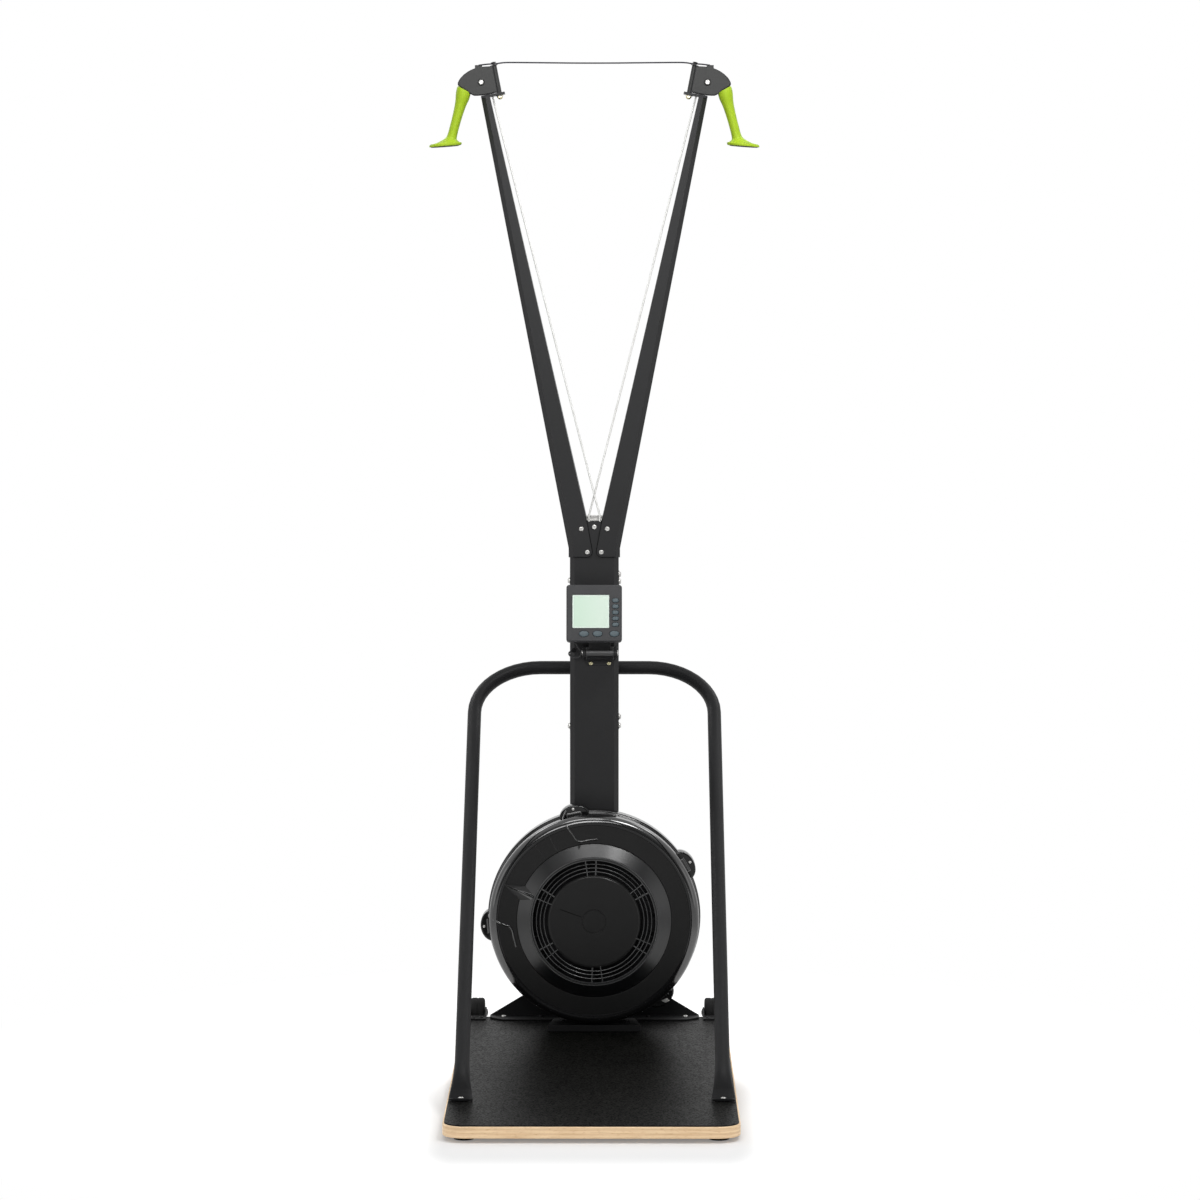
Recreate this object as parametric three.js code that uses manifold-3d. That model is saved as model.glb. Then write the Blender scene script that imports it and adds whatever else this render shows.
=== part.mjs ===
// Ski trainer machine: a two-arm pulling trainer with an air flywheel, on a deck.
// Millimetres, +Z up, +Y away from the user, origin on the floor under the centre of the footprint.
import * as THREE from 'three';
import { mergeVertices } from 'three/addons/utils/BufferGeometryUtils.js';
import { ConvexGeometry } from 'three/addons/geometries/ConvexGeometry.js';
import Module from 'manifold-3d';

const wasm = await Module();
wasm.setup();

// Clearances shared by all pieces
const seatGap = 0.3;
const boreGap = 0.3;
const cutOverrun = 4;

// Deck
const deckWidth = 590;
const deckLength = 1230;
const boardThickness = 23.4;
const boardEdgeBevel = 2;
const surfaceThickness = 2;
const surfaceInset = 3;
const deckFrontCornerRadius = 40;
const deckBackCornerRadius = 15;
const footRadius = 22;
const footHeight = 9;
const footSideInset = 43;
const footEndInset = 45;

// Transport wheels
const wheelRadius = 33;
const wheelWidth = 32;
const wheelShoulder = 5;
const wheelSideInset = 31;
const wheelFloorGap = 5;
const wheelEdgeGap = 2;
const wheelAxleRadius = 5;
const wheelHubInset = 3;
const wheelHubRadius = 14;
const bracketPlate = 3;
const bracketReach = 50;
const bracketEarHeight = 24;
const bracketEarGap = 1;

// Mast
const mastInset = 104;
const mastWidth = 108;
const mastDepth = 98;
const mastWall = 2.5;
const mastBevel = 10;
const mastTopZ = 1158;
const cableHoleRadius = 3;

// Base brackets of the mast
const gussetPlate = 4;
const gussetSideInset = 60;
const gussetBend = 113;
const gussetBearingGap = 31.7;
const gussetFlangeDepth = 58;
const gussetEndDepth = 30;
const frontFootReach = 92;
const frontFootHalfWidth = 102.5;
const frontFootBackHalfWidth = 90;
const frontFootHeight = 14.7;
const frontFootPlate = 3;

// Support tube
const tubeRadius = 15;
const tubeSideInset = 29;
const tubeBendRadius = 145;
const tubeFootSetback = 255;
const tubeFootRise = 10;
const tubeBarHeight = 822;
const tubeBarStandoff = 28;
const tubeToeReach = 12;
const tubeToeHalfWidth = 25;
const tubeToeThickness = 6.5;
const tubeFlatLength = 22;
const tubeTaperLength = 130;
const clampHalfWidth = 38;
const clampHalfHeight = 26;
const clampWrap = 8;

// Arms
const armWall = 2.5;
const armSocketDepth = 79.6;
const armKneeDrop = 60;
const armForkRise = 1;
const armHeight = 933;
const armTopInnerX = 229.2;
const armTopWidth = 19.4;
const armForkInnerX = 16.5;
const armBottomInnerX = 1.7;
const armTopDepth = 45;
const armHeelRadius = 12;

// Cord guide in the fork
const guideHeight = 12;
const guideDepth = 26;
const guideCordGap = 0.5;

// Swivel heads
const headPlaneSetback = 19;
const barrelLength = 60;
const barrelRadius = 5.75;
const barrelFootInset = 20.4;
const barrelFootRise = 9;
const barrelTilt = THREE.MathUtils.degToRad(11);
const pinRadius = 3.5;
const pinHeadRadius = 6.5;
const pinHeadHeight = 4;
const pinNutHeight = 6;
const earThickness = 5;
const earInnerReach = 12;
const earOuterReach = 40;
const earHalfDepth = 19;
const eyeletRadius = 4;
const headPlate = 2.5;
const headPlateGap = 18;
const webThickness = 2.5;
const webBite = 1.2;
const webFootRise = 2.5;
const pulleyBarrelRoom = 12.4;
const pulleyRise = 22.4;
const pulleyRadius = 27;
const pulleyGrooveDepth = 5;
const pulleyWidth = 14;
const pulleyLip = 2.5;
const axleRadius = 4;
const axleHeadRadius = 6;
const axleHeadHeight = 3;
const tabHalfWidth = 7.2;
const tabPulleyShift = 5.8;
const tabPulleyGap = 5.6;
const tabHeight = 11;
const tabThickness = 3;

// Corners and curve points of a head's side plate, as X and Z from the foot of the barrel
const plateFoot = [6.2, 2.3];
const plateBelly = [37.2, -5.5];
const plateLobe = [55.2, -4.5];
const plateChin = [64.2, 0];
const plateNoseFoot = [87.2, 16];
const plateNose = [90.7, 21];
const plateNoseTop = [81.2, 33];
const plateBrow = [63.2, 52.5];
const plateCrownFront = [35.2, 55];
const plateCrown = [16.7, 56];

// Handles
const handlePulleyGap = 10.3;
const handleRise = 5.2;
const handleLength = 128;
const handleTilt = THREE.MathUtils.degToRad(15.2);
const handleRunShares = [0, 0.1, 0.25, 0.45, 0.66, 0.8, 0.87, 0.93, 0.965, 1];
const handleWidths = [31, 31, 25, 21.5, 20.5, 21.5, 28, 46, 68, 68];
const handleDepths = [36, 36, 31, 28, 28, 28, 34, 48, 60, 60];
const handleShifts = [0, 0, 0, 0, 0, 0, 1.8, 5.4, 9, 9];
const topSlantShares = [1, 0.8, 0.4, 0, 0, 0, 0, 0, 0, 0];
const levelShares = [0, 0, 0, 0, 0.4, 0.7, 0.9, 1, 1, 1];
const handleBoreGap = 0.6;
const handleBoreDepth = 40;
const handleTopSlant = THREE.MathUtils.degToRad(14);

// Cords
const cordRadius = 2;
const tieCordRadius = 1.6;
const returnCordRadius = 4;
const cableRadius = 1.8;
const headCordDrop = 2;
const eyeletReach = 14.6;
const eyeletDrop = 8;
const pulleyTurnStart = THREE.MathUtils.degToRad(178);
const pulleyTurnEnd = THREE.MathUtils.degToRad(29.4);
const guideCrossX = 12;
const cordWallGap = 0.7;
const cordPairGap = 1.3;

// Route of the monitor's cable from the case to the hole in the mast: X, depth in front of the mast,
// height over the hinge
const cableRoute = [
  [-40.5, 51, 25.8], [-37, 40, 17], [-30, 27, 3.8], [-31, 21, -7.2], [-44, 16, -9.7],
  [-56, 12, -2.7], [-51, 9, 3.8], [-45, 5, 4.3], [-45, -5, 4.3],
];
const cableHoleSideInset = 9;
const cableHoleRise = 4.3;

// Flywheel housing, depths measured from the front of the mast towards the user
const housingFootGap = 2;
const housingRadius = 235;
const housingWall = 3;
const housingRearDepth = 51;
const housingRearBevel = 6;
const housingRimStep = 2;
const housingFaceDepth = 116;
const housingShoulder = 16;
const housingRimWidth = 63;
const housingSeatWidth = 10;
const housingSeatDepth = 3.5;
const housingBearingRoom = 4;
const lugReach = 17;
const lugHalfLength = 34;
const lugSink = 26;
const lugRearDepth = 32;
const lugFrontDepth = 14;
const lugAngles = [101, 30, 185, -50].map(THREE.MathUtils.degToRad);

// Damper
const damperClearance = 0.8;
const damperConeWidth = 27;
const damperConeRise = 18;
const damperLipWidth = 8.4;
const damperLipHeight = 1.5;
const damperWall = 3;
const grilleWidth = 32.6;
const grilleBarWidth = 2.4;
const grilleBarDepth = 4;
const grilleRingShares = [0.25, 0.5, 0.76];
const leverTipInset = 19;
const leverFaceGap = 0.8;
const leverHeight = 13;
const leverAngle = THREE.MathUtils.degToRad(158);
const leverHalfAngle = THREE.MathUtils.degToRad(6);

// Flywheel and drive
const shaftRadius = 8;
const shaftFrontDepth = 88;
const fanTipGap = 12;
const fanHubRadius = 26;
const fanBackDepth = 18;
const fanDiscThickness = 4;
const fanFrontDepth = 82;
const fanBladeLength = 90;
const fanBladeThickness = 3;
const fanRimWidth = 6;
const fanRimDepth = 14;
const bearingRadius = 20;
const bearingWidth = 12;
const bearingProud = 2;
const spoolRadius = 30;
const spoolFlangeRadius = 36;
const spoolFlange = 2;
const spoolBearingGap = 3;
const spoolPairGap = 6;
const spoolWidth = 14;
const returnSpoolWidth = 16;
const returnSpoolRadius = 20;
const returnPulleyRadius = 18;
const returnPulleyDrop = 118;
const returnPulleyWidth = 12;
const returnStudRadius = 5;
const anchorZ = 380;
const anchorSize = 12;

// Monitor
const monitorWidth = 122;
const monitorHeight = 125;
const monitorDepth = 34;
const monitorCorner = 9;
const monitorEdgeBevel = 3;
const monitorTilt = THREE.MathUtils.degToRad(10);
const monitorFaceSetback = 78;
const monitorCentreDrop = 196.5;
const screenLeftMargin = 13.2;
const screenRightMargin = 27.8;
const screenTopMargin = 21.75;
const screenBottomMargin = 29.75;
const screenThickness = 2;
const screenRecess = 3.5;
const screenCorner = 2;
const keyProud = 1.5;
const keyHeight = 4.3;
const keyTravel = 1;
const sideKeyInset = 14.2;
const sideKeyWidth = 14.7;
const sideKeyHeight = 10.5;
const sideKeyTopShare = 0.224;
const sideKeyPitchShare = 0.1064;
const bottomKeyInset = 17;
const bottomKeyWidth = 21.4;
const bottomKeyHeight = 14.7;
const bottomKeyShares = [-0.1844, 0.0615, 0.3631];
const hingeCentreX = 12.5;
const hingeDrop = 93.3;
const hingeRadius = 14;
const hingePlateGap = 0.7;
const hingeLength = 62;
const hingePinRadius = 4;
const hingeEar = 7;
const bracketBottomDrop = 29;
const bracketBottomHalfWidth = 27;
const armPlate = 5;
const armPlateHalfWidth = 24;
const armPlateRise = 75;
const armPlateDrop = 58;
const armNeckRise = 12;
const monitorPlate = 4;

// Places that follow from the sizes above
const roundSteps = 40;
const boltSteps = 16;
const wheelZ = wheelFloorGap + wheelRadius;
const deckFrontY = -(deckLength + wheelEdgeGap + 2 * wheelRadius) / 2;
const deckBackY = deckFrontY + deckLength;
const boardBottomZ = footHeight + seatGap;
const surfaceBottomZ = boardBottomZ + boardThickness + seatGap;
const deckTopZ = surfaceBottomZ + surfaceThickness;
const onDeckZ = deckTopZ + seatGap;
const wheelCentreX = deckWidth / 2 - wheelSideInset;
const gussetHalfWidth = deckWidth / 2 - gussetSideInset;
const tubeHalfSpan = deckWidth / 2 - tubeSideInset;
const mastFrontY = deckBackY - mastInset;
const mastBackY = mastFrontY + mastDepth;
const mastBottomZ = onDeckZ + gussetPlate + seatGap;
const armBottomZ = mastTopZ - armSocketDepth;
const armKneeZ = mastTopZ - armKneeDrop;
const armForkZ = mastTopZ + armForkRise;
const armTopZ = mastTopZ + armHeight;
const armTopOuterX = armTopInnerX + armTopWidth;
const headY = mastFrontY + headPlaneSetback;
const barrelUp = new THREE.Vector3(Math.sin(barrelTilt), 0, Math.cos(barrelTilt));
const barrelAcross = new THREE.Vector3(Math.cos(barrelTilt), 0, -Math.sin(barrelTilt));
const barrelFootZ = armTopZ + barrelFootRise;
const barrelFoot = new THREE.Vector3(armTopInnerX - barrelFootInset, headY, barrelFootZ);
const pulleyCentreX = barrelFoot.x + pulleyBarrelRoom + pulleyRadius;
const pulleyCentreZ = barrelFootZ + pulleyRise;
const pulleyGrooveRadius = pulleyRadius - pulleyGrooveDepth;
const tabCentreX = pulleyCentreX + tabPulleyShift;
const tabTopZ = pulleyCentreZ + pulleyRadius + tabPulleyGap + tabThickness;
const eyelet = new THREE.Vector3(barrelFoot.x + eyeletReach, headY, barrelFootZ - eyeletDrop);
const headCordFootZ = barrelFootZ - headCordDrop;
const frontCordY = mastFrontY + mastWall + cordWallGap + cordRadius;
const rearCordY = frontCordY + 2 * cordRadius + cordPairGap;
const frontSpoolY = mastFrontY + bearingWidth - bearingProud + spoolBearingGap + spoolFlange + spoolWidth / 2;
const rearSpoolY = frontSpoolY + spoolWidth + 2 * spoolFlange + spoolPairGap;
const flywheelZ = onDeckZ + frontFootHeight + housingFootGap + housingRadius;
const shaftPlace = new THREE.Vector3(0, mastFrontY, flywheelZ);
const housingFrontRadius = housingRadius - housingRimStep;
const housingMouthRadius = housingFrontRadius - housingRimWidth;
const housingSeatRadius = housingMouthRadius - housingSeatWidth;
const housingShaftHole = bearingRadius + housingBearingRoom;
const damperConeRadius = housingMouthRadius - damperConeWidth;
const damperConeDepth = housingFaceDepth + damperConeRise;
const grilleOuterRadius = damperConeRadius - damperLipWidth;
const grilleDiscRadius = grilleOuterRadius - grilleWidth;
const leverTipRadius = housingFrontRadius - leverTipInset;
const fanRadius = housingRadius - housingWall - fanTipGap;
const returnPulleyZ = mastTopZ - returnPulleyDrop;
const monitorCentreZ = mastTopZ - monitorCentreDrop;
const hingeZ = monitorCentreZ - hingeDrop;
const hingeSetback = seatGap + monitorPlate + hingePlateGap + hingeRadius;
const cableHoleX = cableHoleSideInset - mastWidth / 2;
const cableHoleZ = hingeZ + cableHoleRise;
const screenWidth = monitorWidth - screenLeftMargin - screenRightMargin;
const screenHeight = monitorHeight - screenTopMargin - screenBottomMargin;
const screenCentreX = (screenLeftMargin - screenRightMargin) / 2;
const screenCentreRise = (screenBottomMargin - screenTopMargin) / 2;

// Paints and finishes
const finishes = {
  wood: { color: '#e2bd8b', roughness: 0.6, metalness: 0 },
  deckSurface: { color: '#26272a', roughness: 0.9, metalness: 0 },
  rubber: { color: '#17181a', roughness: 0.85, metalness: 0 },
  blackPaint: { color: '#222325', roughness: 0.5, metalness: 0.2 },
  glossBlack: { color: '#0c0d0e', roughness: 0.2, metalness: 0 },
  steel: { color: '#b9bbbd', roughness: 0.3, metalness: 1 },
  fanSteel: { color: '#55585c', roughness: 0.5, metalness: 0.8 },
  limeGrip: { color: '#a8cf33', roughness: 0.6, metalness: 0 },
  cordWhite: { color: '#c9c9c6', roughness: 0.8, metalness: 0 },
  cordBlack: { color: '#25262b', roughness: 0.8, metalness: 0 },
  caseGrey: { color: '#4c4f54', roughness: 0.5, metalness: 0 },
  keyGrey: { color: '#55666e', roughness: 0.5, metalness: 0 },
  screenGlass: { color: '#d5ebd6', roughness: 0.15, metalness: 0 },
};

// Geometry helpers
function signedVolume(geometry) {
  const place = geometry.attributes.position;
  const corners = [new THREE.Vector3(), new THREE.Vector3(), new THREE.Vector3()];
  let total = 0;
  for (let i = 0; i < geometry.index.count; i += 3) {
    corners.forEach((corner, k) => corner.fromBufferAttribute(place, geometry.index.getX(i + k)));
    total += corners[0].dot(corners[1].clone().cross(corners[2]));
  }
  return total / 6;
}

// Merges shared corners, drops empty triangles and turns the faces outwards
function toSolid(source) {
  const bare = source.clone();
  const extras = Object.keys(bare.attributes).filter((key) => key !== 'position');
  extras.forEach((key) => bare.deleteAttribute(key));
  const merged = mergeVertices(bare);
  const flip = signedVolume(merged) < 0;
  const triangles = [];
  for (let i = 0; i < merged.index.count; i += 3) {
    const [a, b, c] = [0, 1, 2].map((k) => merged.index.getX(i + k));
    if (a !== b && b !== c && c !== a) triangles.push(...(flip ? [a, c, b] : [a, b, c]));
  }
  return new wasm.Manifold(new wasm.Mesh({
    numProp: 3,
    vertProperties: new Float32Array(merged.attributes.position.array),
    triVerts: new Uint32Array(triangles),
  }));
}

function toGeometry(solid) {
  const mesh = solid.getMesh();
  const geometry = new THREE.BufferGeometry();
  geometry.setAttribute('position', new THREE.BufferAttribute(new Float32Array(mesh.vertProperties), 3));
  geometry.setIndex(new THREE.BufferAttribute(new Uint32Array(mesh.triVerts), 1));
  const faceted = geometry.toNonIndexed();
  faceted.computeVertexNormals();
  return faceted;
}

function join(...solids) {
  return solids.reduce((whole, piece) => whole.add(piece));
}

function cut(solid, ...tools) {
  return tools.reduce((left, tool) => left.subtract(tool), solid);
}

function box(xs, ys, zs) {
  const geometry = new THREE.BoxGeometry(xs[1] - xs[0], ys[1] - ys[0], zs[1] - zs[0]);
  geometry.translate((xs[0] + xs[1]) / 2, (ys[0] + ys[1]) / 2, (zs[0] + zs[1]) / 2);
  return toSolid(geometry);
}

function shapeOf(points) {
  return new THREE.Shape(points.map(([x, y]) => new THREE.Vector2(x, y)));
}

// A flat outline in X and Y, raised from one height to another
function upright(shape, bottomZ, topZ, bevel = 0) {
  const geometry = new THREE.ExtrudeGeometry(shape, {
    depth: topZ - bottomZ - 2 * bevel,
    bevelEnabled: bevel > 0,
    bevelThickness: bevel,
    bevelSize: bevel,
    bevelOffset: -bevel,
    bevelSegments: 1,
    curveSegments: 6,
  });
  geometry.translate(0, 0, bottomZ + bevel);
  return toSolid(geometry);
}

function slab(shape, depth) {
  return new THREE.ExtrudeGeometry(shape, { depth, bevelEnabled: false, curveSegments: 6 });
}

// An outline in X and Z that faces the user, filled from one Y to another
function facing(shape, frontY, backY) {
  const geometry = slab(shape, backY - frontY);
  geometry.rotateX(Math.PI / 2);
  geometry.translate(0, backY, 0);
  return toSolid(geometry);
}

// An outline in Y and Z, filled from one X to another
function sideways(shape, fromX, toX) {
  const geometry = slab(shape, toX - fromX);
  const turn = new THREE.Matrix4().makeBasis(
    new THREE.Vector3(0, 1, 0), new THREE.Vector3(0, 0, 1), new THREE.Vector3(1, 0, 0));
  geometry.applyMatrix4(turn);
  geometry.translate(fromX, 0, 0);
  return toSolid(geometry);
}

// A closed profile of [radius, distance along the axis] turned about a line along Y through a place
function turned(profile, place, steps = roundSteps) {
  const points = [...profile, profile[0]].map(([r, y]) => new THREE.Vector2(r, y));
  const geometry = new THREE.LatheGeometry(points, steps);
  geometry.translate(place.x, place.y, place.z);
  return toSolid(geometry);
}

// A round rod between two places
function rod(from, to, radius, steps = boltSteps) {
  const geometry = new THREE.CylinderGeometry(radius, radius, from.distanceTo(to), steps);
  const along = to.clone().sub(from).normalize();
  geometry.applyQuaternion(new THREE.Quaternion().setFromUnitVectors(new THREE.Vector3(0, 1, 0), along));
  const middle = from.clone().add(to).divideScalar(2);
  geometry.translate(middle.x, middle.y, middle.z);
  return toSolid(geometry);
}

// A skin over rings of points, closed at both ends
function loft(rings) {
  const count = rings[0].length;
  const places = rings.flat().flatMap((point) => [point.x, point.y, point.z]);
  const faces = [];
  for (let ring = 0; ring + 1 < rings.length; ring += 1) {
    for (let k = 0; k < count; k += 1) {
      const a = ring * count + k;
      const b = ring * count + ((k + 1) % count);
      faces.push(a, b, b + count, a, b + count, a + count);
    }
  }
  const last = (rings.length - 1) * count;
  for (let k = 1; k + 1 < count; k += 1) {
    faces.push(0, k + 1, k, last, last + k, last + k + 1);
  }
  const geometry = new THREE.BufferGeometry();
  geometry.setAttribute('position', new THREE.BufferAttribute(new Float32Array(places), 3));
  geometry.setIndex(faces);
  return toSolid(geometry);
}

function circleShape(radius, sides) {
  const points = [];
  for (let k = 0; k < sides; k += 1) {
    const turn = (2 * Math.PI * k) / sides;
    points.push([radius * Math.cos(turn), radius * Math.sin(turn)]);
  }
  return shapeOf(points);
}

// A path straight from point to point, with one ring of the tube at each point
class PointPath extends THREE.Curve {
  constructor(points) {
    super();
    this.points = points;
  }

  getPointAt(share) {
    return this.points[Math.round(share * (this.points.length - 1))].clone();
  }

  getTangentAt(share) {
    const k = Math.round(share * (this.points.length - 1));
    const last = this.points.length - 1;
    const before = this.points[Math.min(k, last - 1)].clone();
    const after = this.points[Math.max(k, 1)].clone();
    const out = this.points[Math.min(k + 1, last)].clone().sub(before).normalize();
    return out.add(after.sub(this.points[Math.max(k - 1, 0)]).normalize()).normalize();
  }
}

function tubeAlong(points, radius, sides = 8) {
  const options = { steps: points.length - 1, extrudePath: new PointPath(points), bevelEnabled: false };
  return toSolid(new THREE.ExtrudeGeometry(circleShape(radius, sides), options));
}

// The same solid on the other side of the middle plane
function mirrored(solid) {
  const geometry = toGeometry(solid);
  geometry.scale(-1, 1, 1);
  return toSolid(geometry);
}

function at(x, y, z) {
  return new THREE.Vector3(x, y, z);
}

function named(name, solid, finish) {
  const mesh = new THREE.Mesh(toGeometry(solid), new THREE.MeshStandardMaterial(finishes[finish]));
  mesh.name = name;
  return mesh;
}

// Names the right-hand solid and its mirror image
function pair(name, solid, finish) {
  return [named(`${name}_right`, solid, finish), named(`${name}_left`, mirrored(solid), finish)];
}

// Base
function deckShape(inset) {
  const x = deckWidth / 2 - inset;
  const front = deckFrontY + inset;
  const back = deckBackY - inset;
  const frontRadius = deckFrontCornerRadius - inset;
  const backRadius = deckBackCornerRadius - inset;
  const shape = new THREE.Shape();
  shape.moveTo(-x + frontRadius, front);
  shape.lineTo(x - frontRadius, front);
  shape.absarc(x - frontRadius, front + frontRadius, frontRadius, -Math.PI / 2, 0);
  shape.lineTo(x, back - backRadius);
  shape.absarc(x - backRadius, back - backRadius, backRadius, 0, Math.PI / 2);
  shape.lineTo(-x + backRadius, back);
  shape.absarc(-x + backRadius, back - backRadius, backRadius, Math.PI / 2, Math.PI);
  shape.lineTo(-x, front + frontRadius);
  shape.absarc(-x + frontRadius, front + frontRadius, frontRadius, Math.PI, 1.5 * Math.PI);
  return shape;
}

function deckBoard() {
  return upright(deckShape(0), boardBottomZ, boardBottomZ + boardThickness, boardEdgeBevel);
}

function deckSurface() {
  return upright(deckShape(surfaceInset), surfaceBottomZ, deckTopZ);
}

function foot(y) {
  const x = deckWidth / 2 - footSideInset;
  return rod(at(x, y, 0), at(x, y, footHeight), footRadius, roundSteps / 2);
}

function wheelProfile() {
  const half = wheelWidth / 2;
  const bore = wheelAxleRadius + boreGap;
  return [
    [bore, -half], [wheelHubRadius, -half], [wheelHubRadius, -half + wheelHubInset],
    [wheelRadius - 2 * wheelShoulder, -half + wheelHubInset], [wheelRadius - 2 * wheelShoulder, -half],
    [wheelRadius - wheelShoulder, -half], [wheelRadius, -half + wheelShoulder],
    [wheelRadius, half - wheelShoulder], [wheelRadius - wheelShoulder, half],
    [wheelRadius - 2 * wheelShoulder, half], [wheelRadius - 2 * wheelShoulder, half - wheelHubInset],
    [wheelHubRadius, half - wheelHubInset], [wheelHubRadius, half], [bore, half],
  ];
}

const wheelY = deckBackY + wheelEdgeGap + wheelRadius;

function transportWheel() {
  const geometry = new THREE.LatheGeometry(
    [...wheelProfile(), wheelProfile()[0]].map(([r, y]) => new THREE.Vector2(r, y)), roundSteps / 2);
  geometry.rotateZ(-Math.PI / 2);
  geometry.translate(wheelCentreX, wheelY, wheelZ);
  return toSolid(geometry);
}

function wheelBracket() {
  const inner = wheelWidth / 2 + bracketEarGap;
  const outer = inner + bracketPlate;
  const frontY = deckBackY - bracketReach;
  const plateTop = onDeckZ + bracketPlate;
  const earShape = new THREE.Shape();
  earShape.moveTo(frontY + bracketReach / 2, onDeckZ);
  earShape.lineTo(deckBackY + seatGap, onDeckZ);
  earShape.lineTo(deckBackY + seatGap, wheelZ - bracketEarHeight / 2);
  earShape.lineTo(wheelY, wheelZ - bracketEarHeight / 2);
  earShape.absarc(wheelY, wheelZ, bracketEarHeight / 2, -Math.PI / 2, Math.PI / 2);
  earShape.lineTo(deckBackY - bracketPlate, wheelZ + bracketEarHeight / 2);
  earShape.lineTo(frontY + bracketReach / 2, plateTop);
  const ears = [-outer, inner].map((from) =>
    sideways(earShape, wheelCentreX + from, wheelCentreX + from + bracketPlate));
  const plate = box([wheelCentreX - outer, wheelCentreX + outer], [frontY, deckBackY], [onDeckZ, plateTop]);
  const axleEnds = [-outer, outer].map((x) => at(wheelCentreX + x, wheelY, wheelZ));
  return join(plate, ...ears, rod(...axleEnds, wheelAxleRadius));
}

function mastGusset() {
  const plateFront = mastBackY + seatGap;
  const plateBack = plateFront + gussetPlate;
  const half = mastWidth / 2;
  const bottom = onDeckZ;
  const tabTop = flywheelZ - bearingRadius - gussetBearingGap;
  const wall = facing(shapeOf([
    [-gussetHalfWidth, bottom], [gussetHalfWidth, bottom], [gussetHalfWidth, bottom + gussetPlate],
    [half, bottom + gussetBend], [half, tabTop], [-half, tabTop], [-half, bottom + gussetBend],
    [-gussetHalfWidth, bottom + gussetPlate],
  ]), plateFront, plateBack);
  const flange = upright(shapeOf([
    [-gussetHalfWidth, plateBack], [-gussetHalfWidth, plateBack - gussetEndDepth],
    [-gussetHalfWidth + gussetEndDepth, plateBack - gussetFlangeDepth],
    [-half - gussetEndDepth, plateBack - gussetFlangeDepth], [-half, mastFrontY + mastWall],
    [half, mastFrontY + mastWall], [half + gussetEndDepth, plateBack - gussetFlangeDepth],
    [gussetHalfWidth - gussetEndDepth, plateBack - gussetFlangeDepth],
    [gussetHalfWidth, plateBack - gussetEndDepth], [gussetHalfWidth, plateBack],
  ]), bottom, bottom + gussetPlate);
  return join(wall, flange);
}

function mastFootBracket() {
  const back = mastFrontY - seatGap;
  const front = mastFrontY - frontFootReach;
  const wall = frontFootPlate;
  const outer = upright(shapeOf([
    [-frontFootHalfWidth, front], [frontFootHalfWidth, front],
    [frontFootBackHalfWidth, back], [-frontFootBackHalfWidth, back],
  ]), onDeckZ, onDeckZ + frontFootHeight);
  const inner = upright(shapeOf([
    [-frontFootHalfWidth + wall, front + wall], [frontFootHalfWidth - wall, front + wall],
    [frontFootBackHalfWidth - wall, back - wall], [-frontFootBackHalfWidth + wall, back - wall],
  ]), onDeckZ - cutOverrun, onDeckZ + frontFootHeight - wall);
  return cut(outer, inner);
}

// Support tube: legs, bends and top bar lie in one sloping plane
const tubeFoot = at(tubeHalfSpan, deckFrontY + tubeFootSetback, deckTopZ + tubeFootRise);
const tubeBar = at(0, mastBackY + tubeBarStandoff, tubeBarHeight);
const legSlope = Math.atan2(tubeBar.z - tubeFoot.z, tubeBar.y - tubeFoot.y);
const legAlong = at(0, Math.cos(legSlope), Math.sin(legSlope));
const legAcross = at(0, -Math.sin(legSlope), Math.cos(legSlope));

// Points from the foot of one leg, over the bar and down to the other foot
function supportPoints() {
  const straight = Math.hypot(tubeBar.z - tubeFoot.z, tubeBar.y - tubeFoot.y) - tubeBendRadius;
  const bendSteps = 8;
  const runs = [[tubeHalfSpan, tubeTaperLength]];
  for (let k = 0; k <= bendSteps; k += 1) {
    const turn = (Math.PI / 2) * (k / bendSteps);
    const across = tubeHalfSpan - tubeBendRadius * (1 - Math.cos(turn));
    runs.push([across, straight + tubeBendRadius * Math.sin(turn)]);
  }
  const side = (sign) => runs.map(([across, up]) => (
    at(sign * across, tubeFoot.y, tubeFoot.z).addScaledVector(legAlong, up)));
  return [...side(1), ...side(-1).reverse()];
}

function tubeRing(centre, across, halfWidth, halfThickness, sides) {
  const ring = [];
  for (let k = 0; k < sides; k += 1) {
    const turn = (2 * Math.PI * k) / sides;
    const point = centre.clone().addScaledVector(across, halfThickness * Math.sin(turn));
    point.x += halfWidth * Math.cos(turn);
    ring.push(point);
  }
  return ring;
}

function tubeToe(sides) {
  const flat = tubeToeThickness / 2;
  const flatZ = onDeckZ + flat;
  const upwards = at(0, 0, 1);
  const alongLeg = (run) => tubeFoot.clone().addScaledVector(legAlong, run);
  const rise = at(tubeFoot.x, tubeFoot.y + tubeFlatLength, flatZ);
  const middle = tubeTaperLength / 2;
  const middleWidth = (tubeToeHalfWidth + tubeRadius) / 2;
  return loft([
    tubeRing(at(tubeFoot.x, tubeFoot.y - tubeToeReach, flatZ), upwards, tubeToeHalfWidth, flat, sides),
    tubeRing(rise, upwards, tubeToeHalfWidth, flat, sides),
    tubeRing(alongLeg(middle), legAcross, middleWidth, (flat + tubeRadius) / 2, sides),
    tubeRing(alongLeg(tubeTaperLength + seatGap), legAcross, tubeRadius, tubeRadius, sides),
  ]);
}

function supportTube() {
  const sides = 14;
  const toe = tubeToe(sides);
  return join(tubeAlong(supportPoints(), tubeRadius, sides), toe, mirrored(toe));
}

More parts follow.
